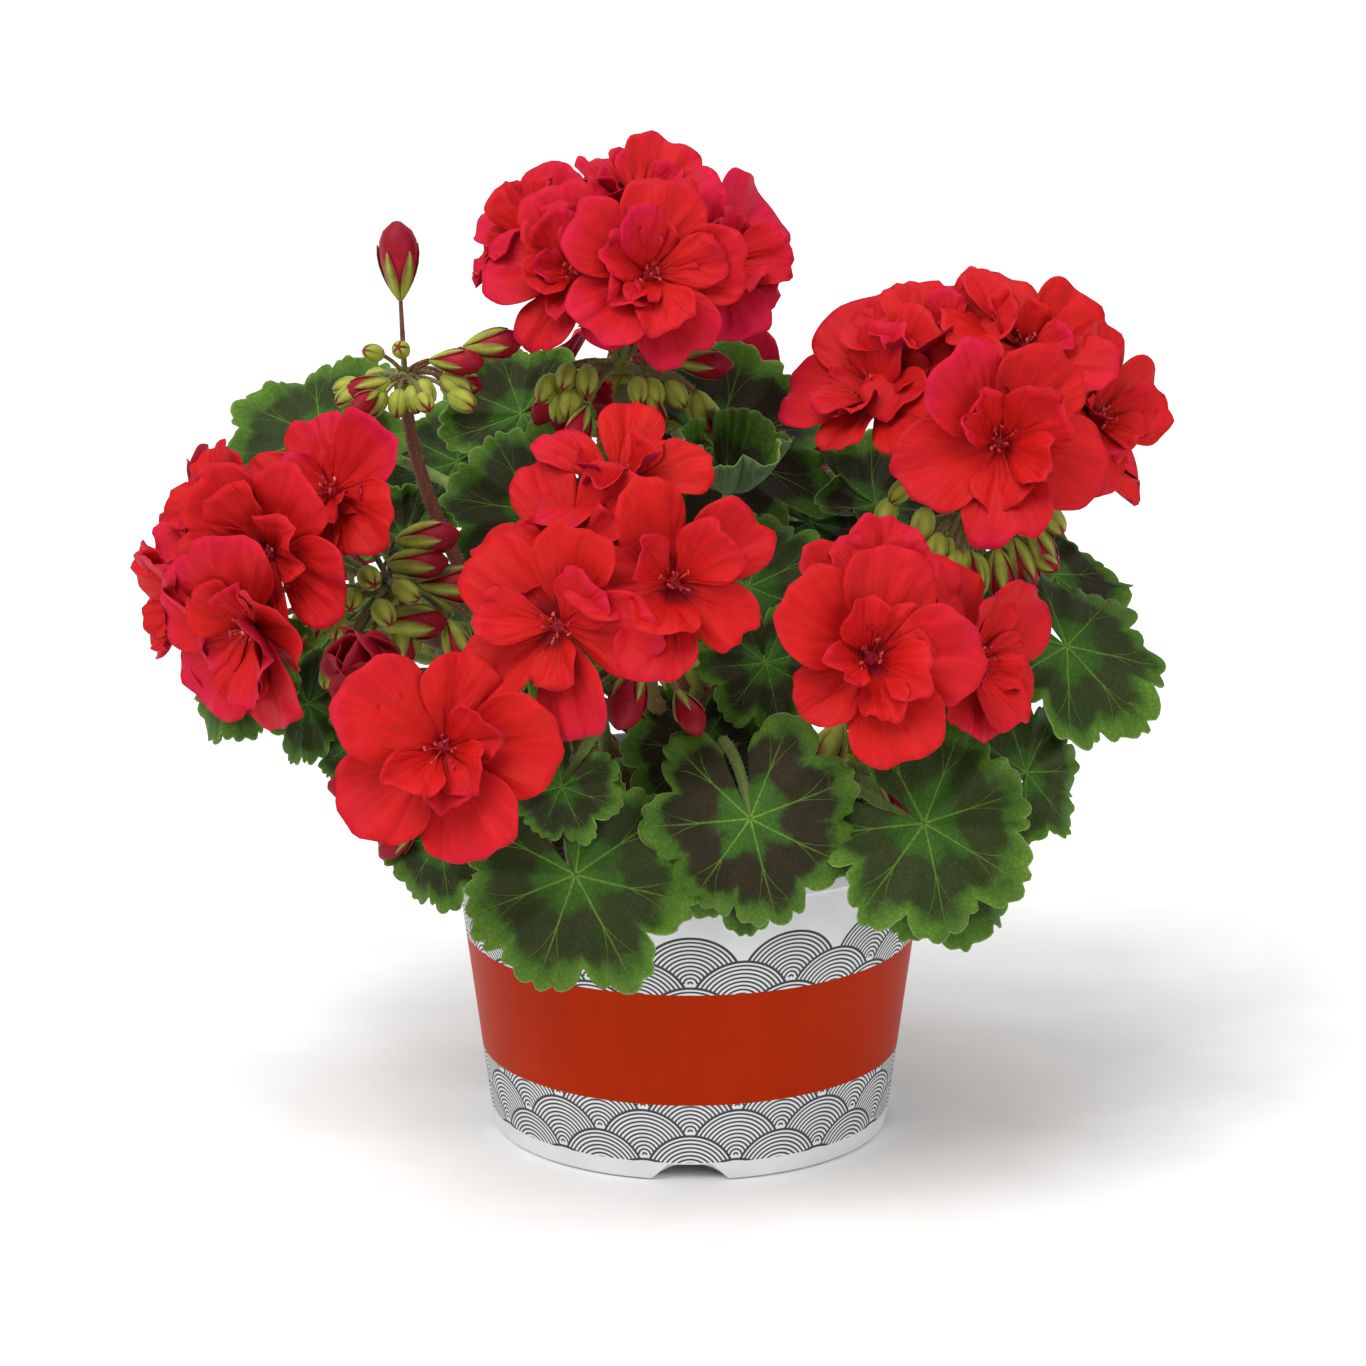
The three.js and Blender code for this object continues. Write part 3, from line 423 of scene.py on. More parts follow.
def leafUpperMaterial():
    material, tree, shader = newMaterial("zonal leaf, upper side")
    uv = add(tree, "ShaderNodeSeparateXYZ", {0: add(tree, "ShaderNodeUVMap", uv_map="own")})
    share, depth = uv.outputs["X"], uv.outputs["Y"]
    place = add(tree, "ShaderNodeTexCoord").outputs["Object"]
    tint = add(tree, "ShaderNodeAttribute", attribute_name="tint").outputs["Fac"]
    veins, across = veinMask(tree, share, depth)
    cloud = add(tree, "ShaderNodeTexNoise", {"Vector": place, "Scale": 110.0, "Detail": 3.0})
    drift = add(tree, "ShaderNodeMath", {0: cloud, 1: 0.5}, operation="SUBTRACT")
    drift = add(tree, "ShaderNodeMath", {0: drift, 1: leafLook["cloud"], 2: depth}, operation="MULTIPLY_ADD")
    drift = add(tree, "ShaderNodeMath", {0: across, 1: leafLook["scallop"], 2: drift},
                operation="MULTIPLY_ADD")
    thin, dark = leafLook["zoneStart"]
    within = add(tree, "ShaderNodeMapRange", {"Value": drift, "From Min": thin, "From Max": dark},
                 interpolation_type="SMOOTHSTEP")
    dark, thin = leafLook["zoneEnd"]
    until = add(tree, "ShaderNodeMapRange", {"Value": drift, "From Min": dark, "From Max": thin,
                "To Min": 1.0, "To Max": 0.0}, interpolation_type="SMOOTHSTEP")
    zone = add(tree, "ShaderNodeMath", {0: within, 1: until}, operation="MULTIPLY")
    zone = add(tree, "ShaderNodeMath", {0: zone, 1: tint}, operation="MULTIPLY")
    green = add(tree, "ShaderNodeValToRGB", {"Fac": drift})
    setRamp(green, [(0.0, "#426A20"), (0.3, "#34581B"), (0.7, "#305018"), (0.86, "#42641F"),
                    (1.0, "#567826")])
    brown = add(tree, "ShaderNodeValToRGB", {"Fac": cloud})
    setRamp(brown, [(0.3, "#22240F"), (0.7, "#33281A")])
    blade = add(tree, "ShaderNodeMix", {"Factor": zone, "A": green, "B": brown}, data_type="RGBA")
    faint = add(tree, "ShaderNodeMapRange", {"Value": depth, "From Min": 0.1, "From Max": 1.0,
                "To Min": 0.85, "To Max": 0.22})
    onVein = add(tree, "ShaderNodeMath", {0: veins, 1: faint}, operation="MULTIPLY")
    blade = add(tree, "ShaderNodeMix", {"Factor": onVein, "A": blade.outputs[2], "B": linear("#6C9438")},
                data_type="RGBA")
    margin = add(tree, "ShaderNodeMapRange", {"Value": depth, "From Min": 0.975, "From Max": 1.0,
                 "To Min": 0.0, "To Max": 0.55})
    blade = add(tree, "ShaderNodeMix", {"Factor": margin, "A": blade.outputs[2], "B": linear("#93A86A")},
                data_type="RGBA")
    # a fine net of small veins, about 1.4 mm a cell
    net = add(tree, "ShaderNodeTexVoronoi", {"Vector": place, "Scale": 700.0}, feature="DISTANCE_TO_EDGE")
    cell = add(tree, "ShaderNodeMapRange", {"Value": net, "From Min": 0.0, "From Max": 0.2,
               "To Min": 0.8, "To Max": 1.05})
    blade = add(tree, "ShaderNodeVectorMath", {0: blade.outputs[2], 1: cell}, operation="MULTIPLY")
    height = add(tree, "ShaderNodeMath", {0: veins, 1: -1.6, 2: cell}, operation="MULTIPLY_ADD")
    bump = add(tree, "ShaderNodeBump", {"Height": height, "Strength": 0.5, "Distance": 0.0004})
    rough = add(tree, "ShaderNodeMapRange", {"Value": cloud, "To Min": 0.5, "To Max": 0.68})
    fill(tree, shader, {"Base Color": blade, "Normal": bump, "Roughness": rough, "Specular IOR Level": 0.12})
    return material


# The underside is grey-green with raised veins
def leafUnderMaterial():
    material, tree, shader = newMaterial("zonal leaf, underside")
    uv = add(tree, "ShaderNodeSeparateXYZ", {0: add(tree, "ShaderNodeUVMap", uv_map="own")})
    place = add(tree, "ShaderNodeTexCoord").outputs["Object"]
    veins, _ = veinMask(tree, uv.outputs["X"], uv.outputs["Y"], 1.5)
    cloud = add(tree, "ShaderNodeTexNoise", {"Vector": place, "Scale": 160.0, "Detail": 4.0})
    color = add(tree, "ShaderNodeValToRGB", {"Fac": cloud})
    setRamp(color, [(0.3, "#3C562A"), (0.7, "#526B3C")])
    ribs = add(tree, "ShaderNodeMix", {"Factor": veins, "A": color, "B": linear("#7A965A")}, data_type="RGBA")
    bump = add(tree, "ShaderNodeBump", {"Height": veins, "Strength": 0.6, "Distance": 0.0006})
    fill(tree, shader, {"Base Color": ribs.outputs[2], "Normal": bump, "Roughness": 0.7,
                        "Specular IOR Level": 0.3, "Sheen Weight": 0.15})
    return material


# Stalks: hairy green bark that browns where the tint is high
def stalkMaterial():
    material, tree, shader = newMaterial("hairy stalk")
    place = add(tree, "ShaderNodeTexCoord").outputs["Object"]
    tint = add(tree, "ShaderNodeAttribute", attribute_name="tint").outputs["Fac"]
    long = add(tree, "ShaderNodeMapping", {"Vector": place, "Scale": (1.0, 1.0, 0.25)})
    streak = add(tree, "ShaderNodeTexNoise", {"Vector": long, "Scale": 500.0, "Detail": 3.0})
    mixed = add(tree, "ShaderNodeMath", {0: streak, 1: 0.5}, operation="SUBTRACT")
    mixed = add(tree, "ShaderNodeMath", {0: mixed, 1: 0.55, 2: tint}, operation="MULTIPLY_ADD")
    color = add(tree, "ShaderNodeValToRGB", {"Fac": mixed})
    setRamp(color, [(0.0, "#7C9346"), (0.3, "#6A7A38"), (0.62, "#7C5438"), (1.0, "#6E362C")])
    bump = add(tree, "ShaderNodeBump", {"Height": streak, "Strength": 0.3, "Distance": 0.0003})
    fill(tree, shader, {"Base Color": color, "Normal": bump, "Roughness": 0.6,
                        "Specular IOR Level": 0.25, "Sheen Weight": 0.08})
    return material


# Hairs: colourless, so they read as a pale fringe
def hairMaterial():
    material, tree, shader = newMaterial("plant hair")
    place = add(tree, "ShaderNodeTexCoord").outputs["Object"]
    tone = add(tree, "ShaderNodeTexNoise", {"Vector": place, "Scale": 300.0})
    color = add(tree, "ShaderNodeValToRGB", {"Fac": tone})
    setRamp(color, [(0.3, "#A3A67E"), (0.7, "#D6D8C0")])
    fill(tree, shader, {"Base Color": color, "Roughness": 0.5})
    return material


# Sepals: yellow-green, flushed red-brown at their edges and tips
def sepalMaterial():
    material, tree, shader = newMaterial("bud sepal")
    uv = add(tree, "ShaderNodeSeparateXYZ", {0: add(tree, "ShaderNodeUVMap", uv_map="own")})
    place = add(tree, "ShaderNodeTexCoord").outputs["Object"]
    tint = add(tree, "ShaderNodeAttribute", attribute_name="tint").outputs["Fac"]
    aside = add(tree, "ShaderNodeMath", {0: uv.outputs["X"], 1: 2.0, 2: -1.0}, operation="MULTIPLY_ADD")
    aside = add(tree, "ShaderNodeMath", {0: aside}, operation="ABSOLUTE")
    flush = add(tree, "ShaderNodeMath", {0: aside, 1: uv.outputs["Y"]}, operation="MULTIPLY")
    flush = add(tree, "ShaderNodeMath", {0: flush, 1: tint}, operation="MULTIPLY")
    spots = add(tree, "ShaderNodeTexNoise", {"Vector": place, "Scale": 420.0, "Detail": 2.0})
    flush = add(tree, "ShaderNodeMath", {0: spots, 1: 0.35, 2: flush}, operation="MULTIPLY_ADD")
    color = add(tree, "ShaderNodeValToRGB", {"Fac": flush})
    setRamp(color, [(0.12, "#A9AE44"), (0.32, "#8C932F"), (0.54, "#7A5A2A"), (0.84, "#7C2424")])
    bump = add(tree, "ShaderNodeBump", {"Height": spots, "Strength": 0.3, "Distance": 0.0003})
    fill(tree, shader, {"Base Color": color, "Normal": bump, "Roughness": 0.5,
                        "Specular IOR Level": 0.25, "Sheen Weight": 0.05})
    return material


# The rolled petals that show in a bud: dark crimson with fine lines
def budMaterial():
    material, tree, shader = newMaterial("rolled petal")
    uv = add(tree, "ShaderNodeSeparateXYZ", {0: add(tree, "ShaderNodeUVMap", uv_map="own")})
    place = add(tree, "ShaderNodeTexCoord").outputs["Object"]
    streak = add(tree, "ShaderNodeTexNoise", {"Vector": place, "Scale": 600.0, "Detail": 2.0})
    along = add(tree, "ShaderNodeMath", {0: streak, 1: 0.5, 2: uv.outputs["Y"]}, operation="MULTIPLY_ADD")
    color = add(tree, "ShaderNodeValToRGB", {"Fac": along})
    setRamp(color, [(0.2, "#6A0812"), (0.75, "#A30E22"), (1.0, "#86091E")])
    bump = add(tree, "ShaderNodeBump", {"Height": streak, "Strength": 0.4, "Distance": 0.0003})
    fill(tree, shader, {"Base Color": color, "Normal": bump, "Roughness": 0.5, "Specular IOR Level": 0.18})
    return material


# Stamens: pinkish red filaments with orange pollen on dark red anthers
def stamenMaterial():
    material, tree, shader = newMaterial("stamen")
    place = add(tree, "ShaderNodeTexCoord").outputs["Object"]
    grain = add(tree, "ShaderNodeTexNoise", {"Vector": place, "Scale": 900.0, "Detail": 1.0})
    color = add(tree, "ShaderNodeValToRGB", {"Fac": grain})
    setRamp(color, [(0.35, "#7E0C1C"), (0.52, "#B01A2C"), (0.64, "#C4502A"), (0.76, "#D98A84")])
    fill(tree, shader, {"Base Color": color, "Roughness": 0.6})
    return material


petalFinish = petalMaterial()
leafFinish = [leafUpperMaterial(), leafUnderMaterial()]
stalkFinish = stalkMaterial()
hairFinish = hairMaterial()
sepalFinish = sepalMaterial()
rolledFinish = budMaterial()
stamenFinish = stamenMaterial()
print("plant finishes ready")


# The lay-out of the plant, in millimetres, is the frame's own
branches = {
    "frontLeft": (-21, -24, 102), "front": (2, -30, 108), "frontRight": (23, -24, 100),
    "right": (36, -4, 118), "left": (-38, -8, 108), "leftHigh": (-30, 10, 134),
    "middle": (-4, 4, 138), "back": (4, 30, 114),
}
# where the stalk meets the blade, where the upper side looks, radius, cup, spin, branch
leaves = [
    ((-27, -86, 90), (-5, 15), 30.5, -0.06, 38, "frontLeft"),
    ((14, -92.5, 106), (-4, 10), 28, -0.3, 5, "front"),
    ((55, -84, 102), (10, 26), 29, -0.1, 42, "frontRight"),
    ((90.5, -34, 131), (38, 48), 29, -0.1, 0, "right"),
    ((80, -56, 106), (40, 24), 20, -0.1, 120, "frontRight"),
    ((63, -59, 84), (30, 6), 22, -0.06, -10, "frontRight"),
    ((-30, -90, 113), (-12, 8), 15, -0.2, -20, "frontLeft"),
    ((12, -72, 89), (4, 6), 19, -0.1, 0, "front"),
    ((-60, -56, 89), (-30, 14), 18, -0.1, -20, "frontLeft"),
    ((-92, -32, 116), (-50, 20), 16, -0.1, 0, "left"),
    ((-109, -24, 124.5), (-50, 28), 22, -0.15, 0, "leftHigh"),
    ((-81, -46, 110), (-40, 16), 12, -0.1, 10, "frontLeft"),
    ((-92, 12, 116), (-64, 44), 25, -0.1, 0, "left"),
    ((-92, 43, 164), (-30, 54), 27, 0.05, 0, "leftHigh"),
    ((-58, 50, 155), (-14, 52), 22, 0.05, 0, "leftHigh"),
    ((-38, 11, 153), (-24, 32), 26, 0.1, 0, "middle"),
    ((-42, 46, 168.5), (0, 46), 22, 0.1, 0, "middle"),
    ((6, 34, 163), (12, 44), 33, 0, 0, "middle"),
    ((9, -10, 164), (20, 78), 16, 0.75, 0, "middle"),
    ((46, 28, 150), (36, 62), 22, 0.3, 0, "right"),
    ((30, 40, 142), (14, 52), 20, 0.1, 0, "middle"),
    ((14, -20, 142), (4, 40), 24, 0, 0, "middle"),
    ((18, -48, 131), (6, 38), 18, -0.05, 0, "front"),
    ((2, -56, 112), (0, 20), 20, 0, 0, "front"),
    ((-70, 4, 148), (0, 50), 14, 0.4, 0, "leftHigh"),
    ((-36, -19, 130), (-16, 40), 19, 0, 0, "middle"),
    ((46, -28, 138), (24, 46), 22, 0, 0, "right"),
    ((56, -46, 107), (16, 50), 13, 0.5, 0, "right"),
    ((90, 20, 134), (62, 46), 25, 0, 0, "back"),
    ((86, 48, 110), (108, 26), 29, -0.1, 0, "right"),
    ((52, 82, 108), (148, 24), 29, -0.1, 0, "back"),
    ((2, 92, 104), (178, 22), 30, -0.12, 0, "back"),
    ((-46, 86, 112), (-154, 28), 29, -0.1, 0, "back"),
    ((-88, 56, 104), (-118, 24), 28, -0.1, 0, "left"),
    ((26, 72, 136), (168, 52), 25, 0.05, 0, "back"),
    ((-28, 60, 142), (-160, 56), 22, 0.05, 0, "back"),
]
# florets: azimuth, elevation, reach, size. buds: how many hang round the umbel by draw.
# look: how the florets' faces are shifted from straight out. doubles: how many inner petals a
# floret has. crimson shift: how far the petals' colour lies towards crimson; below 0 it darkens
# a front head's petals towards dark red, which is painted shade. slim: narrower petals.
# young: which floret is still half open. upright: how far a bud stands over the umbel.
# droop: how far the buds hang. flush: how much redder the stalk is.
frontLook, backLook = (0, -0.3, -0.2), (0, 0, -0.28)
# the crimson shifts below 0 of the middle and front heads are painted shade that darkens their petals
heads = [
    {"name": "top", "umbel": (-17, 8, 190), "lean": (0, 86), "branch": "middle", "buds": 7, "seed": 1,
     "look": frontLook, "doubles": (7, 10), "crimsonAndShade": 0.5,
     "florets": [(-27, 50, 36, 0.92), (14, 45, 42, 0.95), (69, 48, 38, 0.9), (80, 84, 41, 0.86),
                 (-85, 56, 37, 0.85), (167, 60, 37, 0.92)]},
    {"name": "right", "umbel": (67, -8, 157), "lean": (60, 76), "branch": "right", "buds": 8, "seed": 2,
     "look": frontLook, "doubles": (5, 7), "crimsonAndShade": 0.05,
     "florets": [(-67, 53, 41, 0.96), (11, 38, 43, 1.05), (74, 40, 41, 0.94), (52, 69, 47, 0.92),
                 (-49, 76, 45, 0.94), (168, 62, 40, 1.05)]},
    {"name": "left", "umbel": (-72, -20, 142), "lean": (-60, 70), "branch": "leftHigh", "buds": 9, "seed": 3,
     "look": frontLook, "doubles": (4, 6), "crimsonAndShade": 0.05,
     "florets": [(-43, 22, 44, 1), (-44, -1, 47, 1.02), (-36, 51, 37, 0.92), (-80, 29, 45, 0.92),
                 (-79, -2, 51, 0.98)]},
    {"name": "middle", "umbel": (-10, -58, 134), "lean": (-10, 82), "branch": "front", "buds": 3, "seed": 4,
     "look": frontLook, "doubles": (3, 5), "slim": 0.82, "crimsonAndShade": -0.1,
     "florets": [(-61, 80, 46, 0.9), (-52, 53, 40, 0.95), (-31, 25, 44, 1.06), (10, 40, 45, 1.02)]},
    {"name": "front_right", "umbel": (36, -52, 112), "lean": (10, 74), "branch": "front", "buds": 2,
     "seed": 5, "look": frontLook, "doubles": (6, 9), "crimsonAndShade": -0.15,
     "florets": [(9, 40, 50, 1.06), (64, 36, 42, 0.96), (20, 60, 48, 0.86)]},
    {"name": "front_left", "umbel": (-54, -56, 99), "lean": (-30, 60), "branch": "frontLeft", "buds": 2,
     "seed": 6, "look": frontLook, "doubles": (4, 5), "crimsonAndShade": -0.3,
     "florets": [(-5, 32, 48, 1.12), (-58, 56, 37, 0.85)], "young": 1},
    {"name": "back", "umbel": (-10, 66, 132), "lean": (170, 78), "branch": "back", "buds": 2, "seed": 7,
     "look": backLook, "doubles": (4, 6),
     "florets": [(176, 30, 42, 1), (124, 36, 42, 1), (-128, 36, 42, 1), (160, 78, 44, 1)]},
    {"name": "back_right", "umbel": (70, 58, 126), "lean": (130, 70), "branch": "right", "buds": 1, "seed": 8,
     "look": backLook, "doubles": (4, 6),
     "florets": [(170, 30, 42, 1), (118, 48, 40, 0.95), (84, 52, 40, 0.92), (140, 74, 44, 1)]},
    {"name": "back_left", "umbel": (-84, 54, 112), "lean": (-110, 66), "branch": "leftHigh", "buds": 1,
     "seed": 9, "look": backLook, "doubles": (4, 6),
     "florets": [(-170, 32, 42, 1), (-112, 24, 44, 1), (-90, 34, 40, 0.95)]},
    {"name": "bud_head", "umbel": (-69, -8, 191), "lean": (-20, 84), "branch": "left", "buds": 9, "seed": 11,
     "size": 0.75, "upright": 19.6, "droop": 0.3, "flush": 0.3, "florets": []},
    {"name": "young_bud_head", "umbel": (42, -58, 97), "lean": (0, 60), "branch": "frontRight", "buds": 4,
     "seed": 12, "size": 0.6, "florets": []},
]
# Petals that the photograph shows shorter or longer than the others: floret and petal
petalShares = {
    "top": {(0, 3): 0.9, (2, 1): 0.8, (2, 2): 1.25, (3, 3): 0.85, (4, 1): 0.78},
    "right": {(0, 1): 1.1, (0, 3): 0.8, (2, 0): 0.55, (3, 4): 1.1, (4, 2): 0.85},
    "left": {(2, 0): 0.85, (3, 1): 0.72, (3, 2): 0.75, (4, 0): 0.75, (4, 3): 0.75, (4, 4): 0.8},
    "middle": {(3, 2): 0.85},
    "front_left": {(0, 4): 0.82},
    "front_right": {(0, 4): 0.78, (1, 0): 0.75, (1, 4): 0.8},
}
# Buds that show in the photograph one by one: offset from the umbel, azimuth, elevation,
# size, ripeness
singleBuds = {
    "left": [
        ((1, -12, 15), 80, 8, 1.25, 0.8), ((-1, -14, 10), 85, 2, 1.2, 0.7), ((6, -12, 4), 95, 0, 1.4, 0.9),
        ((-3, -14, -5), 85, 2, 1.35, 0.6), ((-10, -14, 14), 60, 20, 0.9, 0.9), ((-6, -18, 9), 20, -10, 0.8, 0),
        ((1, -19, 6), 60, -20, 0.75, 0), ((-9, -18, 4), 0, -20, 0.75, 0), ((-3, -20, 2), 30, -30, 0.8, 0),
        ((-12, -17, -2), -10, -40, 0.75, 0), ((-5, -16, -10), 20, -60, 0.75, 0),
        ((-10, -15, -12), -20, -60, 0.7, 0), ((-14, -12, -15), -30, -60, 0.7, 0.1)],
    "top": [
        ((-12, -10, 3), -20, -40, 0.75, 0), ((-8, -11, 3), 0, -50, 0.8, 0), ((-16, -8, 0), -40, -50, 0.8, 0),
        ((-11, -11, -2), -20, -60, 0.85, 0.05), ((-14, -10, -4), -30, -70, 0.75, 0),
        ((7, -9, -1), 20, -40, 0.8, 0), ((11, -8, -2), 50, -40, 0.8, 0), ((4, -11, 0), 10, -50, 0.7, 0),
        ((13, -4, 2), 80, 0, 1.1, 0.9)],
    "right": [
        ((-18, -10, 6.5), -60, -60, 0.8, 0), ((-10, -12, 5), -40, -70, 0.85, 0),
        ((-14, -10, 11), -60, -40, 0.7, 0), ((-7, -13, -1), -20, -60, 0.8, 0.1),
        ((-3, -14, -5), -10, -72, 0.9, 0.1), ((2, -13, -6), 10, -72, 0.95, 0.3),
        ((7, -12, -5), 30, -72, 1.1, 0.7), ((11, -10, -3), 50, -66, 1.1, 0.75),
        ((15, -8, 0), 60, -60, 1.0, 0.7), ((18, -6, 4), 70, -50, 0.8, 0.2)],
    "bud_head": [
        ((14, -4, 8.5), 90, 8, 1.15, 0.8), ((6, -6, 6), 80, 0, 1.0, 1.0), ((-3, -6, 1), -75, -16, 0.95, 0.8),
        ((-5, -5, 7), -50, 20, 0.6, 0), ((0, -6, 8), -10, 25, 0.6, 0), ((4, -6, 1), 30, -40, 0.7, 0),
        ((9, -5, 2), 70, -30, 0.8, 0.3), ((-1, -7, -1), -10, -60, 0.7, 0), ((2, -7, 0), 20, -60, 0.7, 0),
        ((-5, -6, -1), -40, -50, 0.75, 0.1)],
    "middle": [((-2, -10, 3), -20, -40, 1.4, 1.0)],
    "front_right": [((20, -12, 4), 30, -40, 1.4, 1.0), ((0, -12, 9.5), -50, -58, 1.35, 0.6)],
    "front_left": [((-16, -8, 5), -85, 6, 1.2, 1.0)],
}


# The blade: seven lobes with rounded teeth, pleated along its veins and waved at its margin.
# Heights and depths are shares of its radius. uneven: how far the teeth shift, how often round
# the margin. jitter: how far the margin goes in and out, bends in a radian. waves: height, how
# late it sets in, bends in a radian. ripple: height, bends outwards and round
blade = {"lobes": 7, "lobeDepth": 0.2, "toothDepth": 0.085, "teeth": 4, "bluntness": 0.55,
         "basalShrink": 0.08, "sinusHalf": 11 * degree, "corner": 0.045, "cornerCut": 0.2,
         "uneven": ((0.012, 3), (0.005, 11)), "jitter": ((0.03, 5), (0.02, 9)), "inset": 0.02,
         "innerLobes": 0.35, "thickness": 0.5, "thinning": 0.55, "zone": (0.6, 1.0),
         "pleat": 0.1, "tuck": 0.028, "fold": 0.28, "foldWide": 0.45, "foldUp": 0.3,
         "funnel": 0.3, "funnelDeeper": 1.2, "waves": ((0.09, 3, 3), (0.05, 3, 5), (0.03, 4, 12)),
         "ripple": (0.02, 14, 7), "rows": 13, "steps": 5}


def leafFrame(leaf):
    at, face, _, _, spin, _ = leaf
    normal = direction(*face)
    at = np.array(at, float)
    midrib = unit((at[0], at[1], 0)) * 0.5 - up * 0.6
    midrib = unit(midrib - normal * np.dot(midrib, normal))
    return at, normal, turnAbout(midrib, normal, spin * degree)


def bladePart(leaf, seed):
    at, normal, midrib = leafFrame(leaf)
    radius, cup = leaf[2], leaf[3]
    lobes, teeth = blade["lobes"], blade["teeth"]
    columns = lobes * teeth * blade["steps"]
    share = np.linspace(0, 1, columns + 1)[None, :]
    depth = (np.linspace(0, 1, blade["rows"] + 1) ** 0.85)[:, None]
    draw = [drawPhase * chance(seed, k) for k in range(1, 12)]
    # teeth and lobes are of uneven width
    uneven = share
    for (shift, bends), phase in zip(blade["uneven"], draw[:2]):
        uneven = uneven + shift * np.sin(wholeTurn * bends * share + phase)
    angle = (2 * share - 1) * (math.pi - blade["sinusHalf"])
    lobe = np.abs(np.sin(math.pi * lobes * share)) ** blade["bluntness"]
    tooth = np.abs(np.sin(math.pi * lobes * teeth * uneven)) ** blade["bluntness"]
    jitter = sum(far * np.sin(bends * angle + phase)
                 for (far, bends), phase in zip(blade["jitter"], draw[2:4])) - blade["inset"]
    outline = (1 - blade["lobeDepth"] * (1 - lobe)) * (1 - blade["toothDepth"] * (1 - tooth)) + jitter
    corner = np.clip(np.minimum(share, 1 - share) / blade["corner"], 0, 1)
    outline = outline * (1 - blade["basalShrink"] * np.abs(2 * share - 1) ** 2)
    outline = outline * (1 - blade["cornerCut"] * (1 - corner) ** 2)
    # the lobes and teeth show at the margin only, so the inner rows are rounder
    outline = 1 + (outline - 1) * between((blade["innerLobes"], 1), depth ** 3)
    r = radius * depth * outline
    soft = np.sin(math.pi * lobes * share) ** 2
    deeper = blade["funnelDeeper"] if cup > blade["funnel"] else 1
    wave = blade["pleat"] * depth * (0.5 - soft) + cup * depth ** 2 * deeper
    for (height, late, bends), phase in zip(blade["waves"], draw[4:7]):
        wave = wave + height * depth ** late * np.sin(bends * angle + phase)
    wave = wave + blade["tuck"] * depth ** 2.2 * np.sin(4 * math.pi * lobes * share + 1.57)
    height, outward, about = blade["ripple"]
    ripple = height * np.sin(outward * depth + about * angle + draw[7])
    wave = wave + ripple * np.sin(math.pi * depth) * depth ** 1.5
    # a lobe or two is folded down or up
    fold = np.exp(-((angle - (draw[8] - drawPhase / 2)) / blade["foldWide"]) ** 2)
    wave = wave - blade["fold"] * (chance(seed, 20) - blade["foldUp"]) * fold * depth ** 2.5
    grid = placed(gridOf(r * np.cos(angle), r * np.sin(angle), radius * wave), at, midrib, normal)
    rim = blade["thickness"] * (1 - blade["thinning"] * depth ** 8) * np.ones_like(share)
    zone = between(blade["zone"], chance(seed, 8))  # how dark the zone is
    return sheet(grid, rim, gridOf(share, depth), tint=zone, pole=True, slots=(0, 1))


for index, leaf in enumerate(leaves):
    piece = build(f"leaf_blade_{index + 1:02d}", [bladePart(leaf, index)], leafFinish)
    carry(piece, "leaf", f"leaf_{index + 1:02d}")
print(f"{len(leaves)} leaf blades ready")


# A floret: five broad petals, and smaller ruffled ones standing over them. Two values are the
# limits of a draw. spreads: shares of the spread, the angle from a petal's middle to its side
floret = {"petals": 5, "length": 25.5, "hub": 1.4, "neck": 4.6, "spread": 49 * degree,
          "spreads": (0.9, 1.06), "lift": (4 * degree, 24 * degree), "curl": (-0.0525, 0.0975),
          "ruffle": 1.1, "rows": 11, "columns": 28}
inner = {"length": (11.0, 20.0), "lift": (20 * degree, 55 * degree), "spreads": (0.75, 1.05),
         "turn": 2.4, "stray": 0.4, "start": 0.5, "curl": (-0.075, 0.175), "fold": 0.5,
         "ruffle": 1.5, "rows": 8, "columns": 18}
youngFloret = {"inner": 8, "lift": 52 * degree, "innerLift": 60 * degree, "innerShare": 0.3, "curl": -0.35}
# The form of every petal. frills of its margin: depth, bends, draw. waves: height as a share of
# the ruffle, how late it sets in, bends from side to side, draw. cross: the same of a slanting
# wave, with its bends outwards and aside
petal = {"width": 23.0, "claw": 0.9, "root": 0.28, "shoulders": 2.6, "roundness": 0.55,
         "notch": 0.07, "notchWide": 0.14, "notchAside": 0.3, "lopsided": 0.1,
         "frills": ((0.025, 7, 7), (0.012, 17, 8)), "cup": 0.1, "nod": 0.16, "nodUp": 0.35,
         "waves": ((1.0, 2, 2.1, 2), (0.5, 3, 4.3, 3), (0.26, 4, 6.3, 9)), "cross": (0.3, 8, 3),
         "groove": 0.9, "grooveWide": 1.3, "roll": 12 * degree, "rolls": (0.6, 1.5),
         "thickness": 0.45, "thinning": 0.6}


def floretFrame(head, plan):
    out = direction(plan[0], plan[1])
    at = np.array(head["umbel"], float) + out * plan[2]
    facing = unit(out + np.array(head["look"]))
    xAxis = np.cross(up, facing)
    xAxis = unit(xAxis) if np.dot(xAxis, xAxis) > 1e-6 else np.array([1.0, 0, 0])
    return at, facing, xAxis


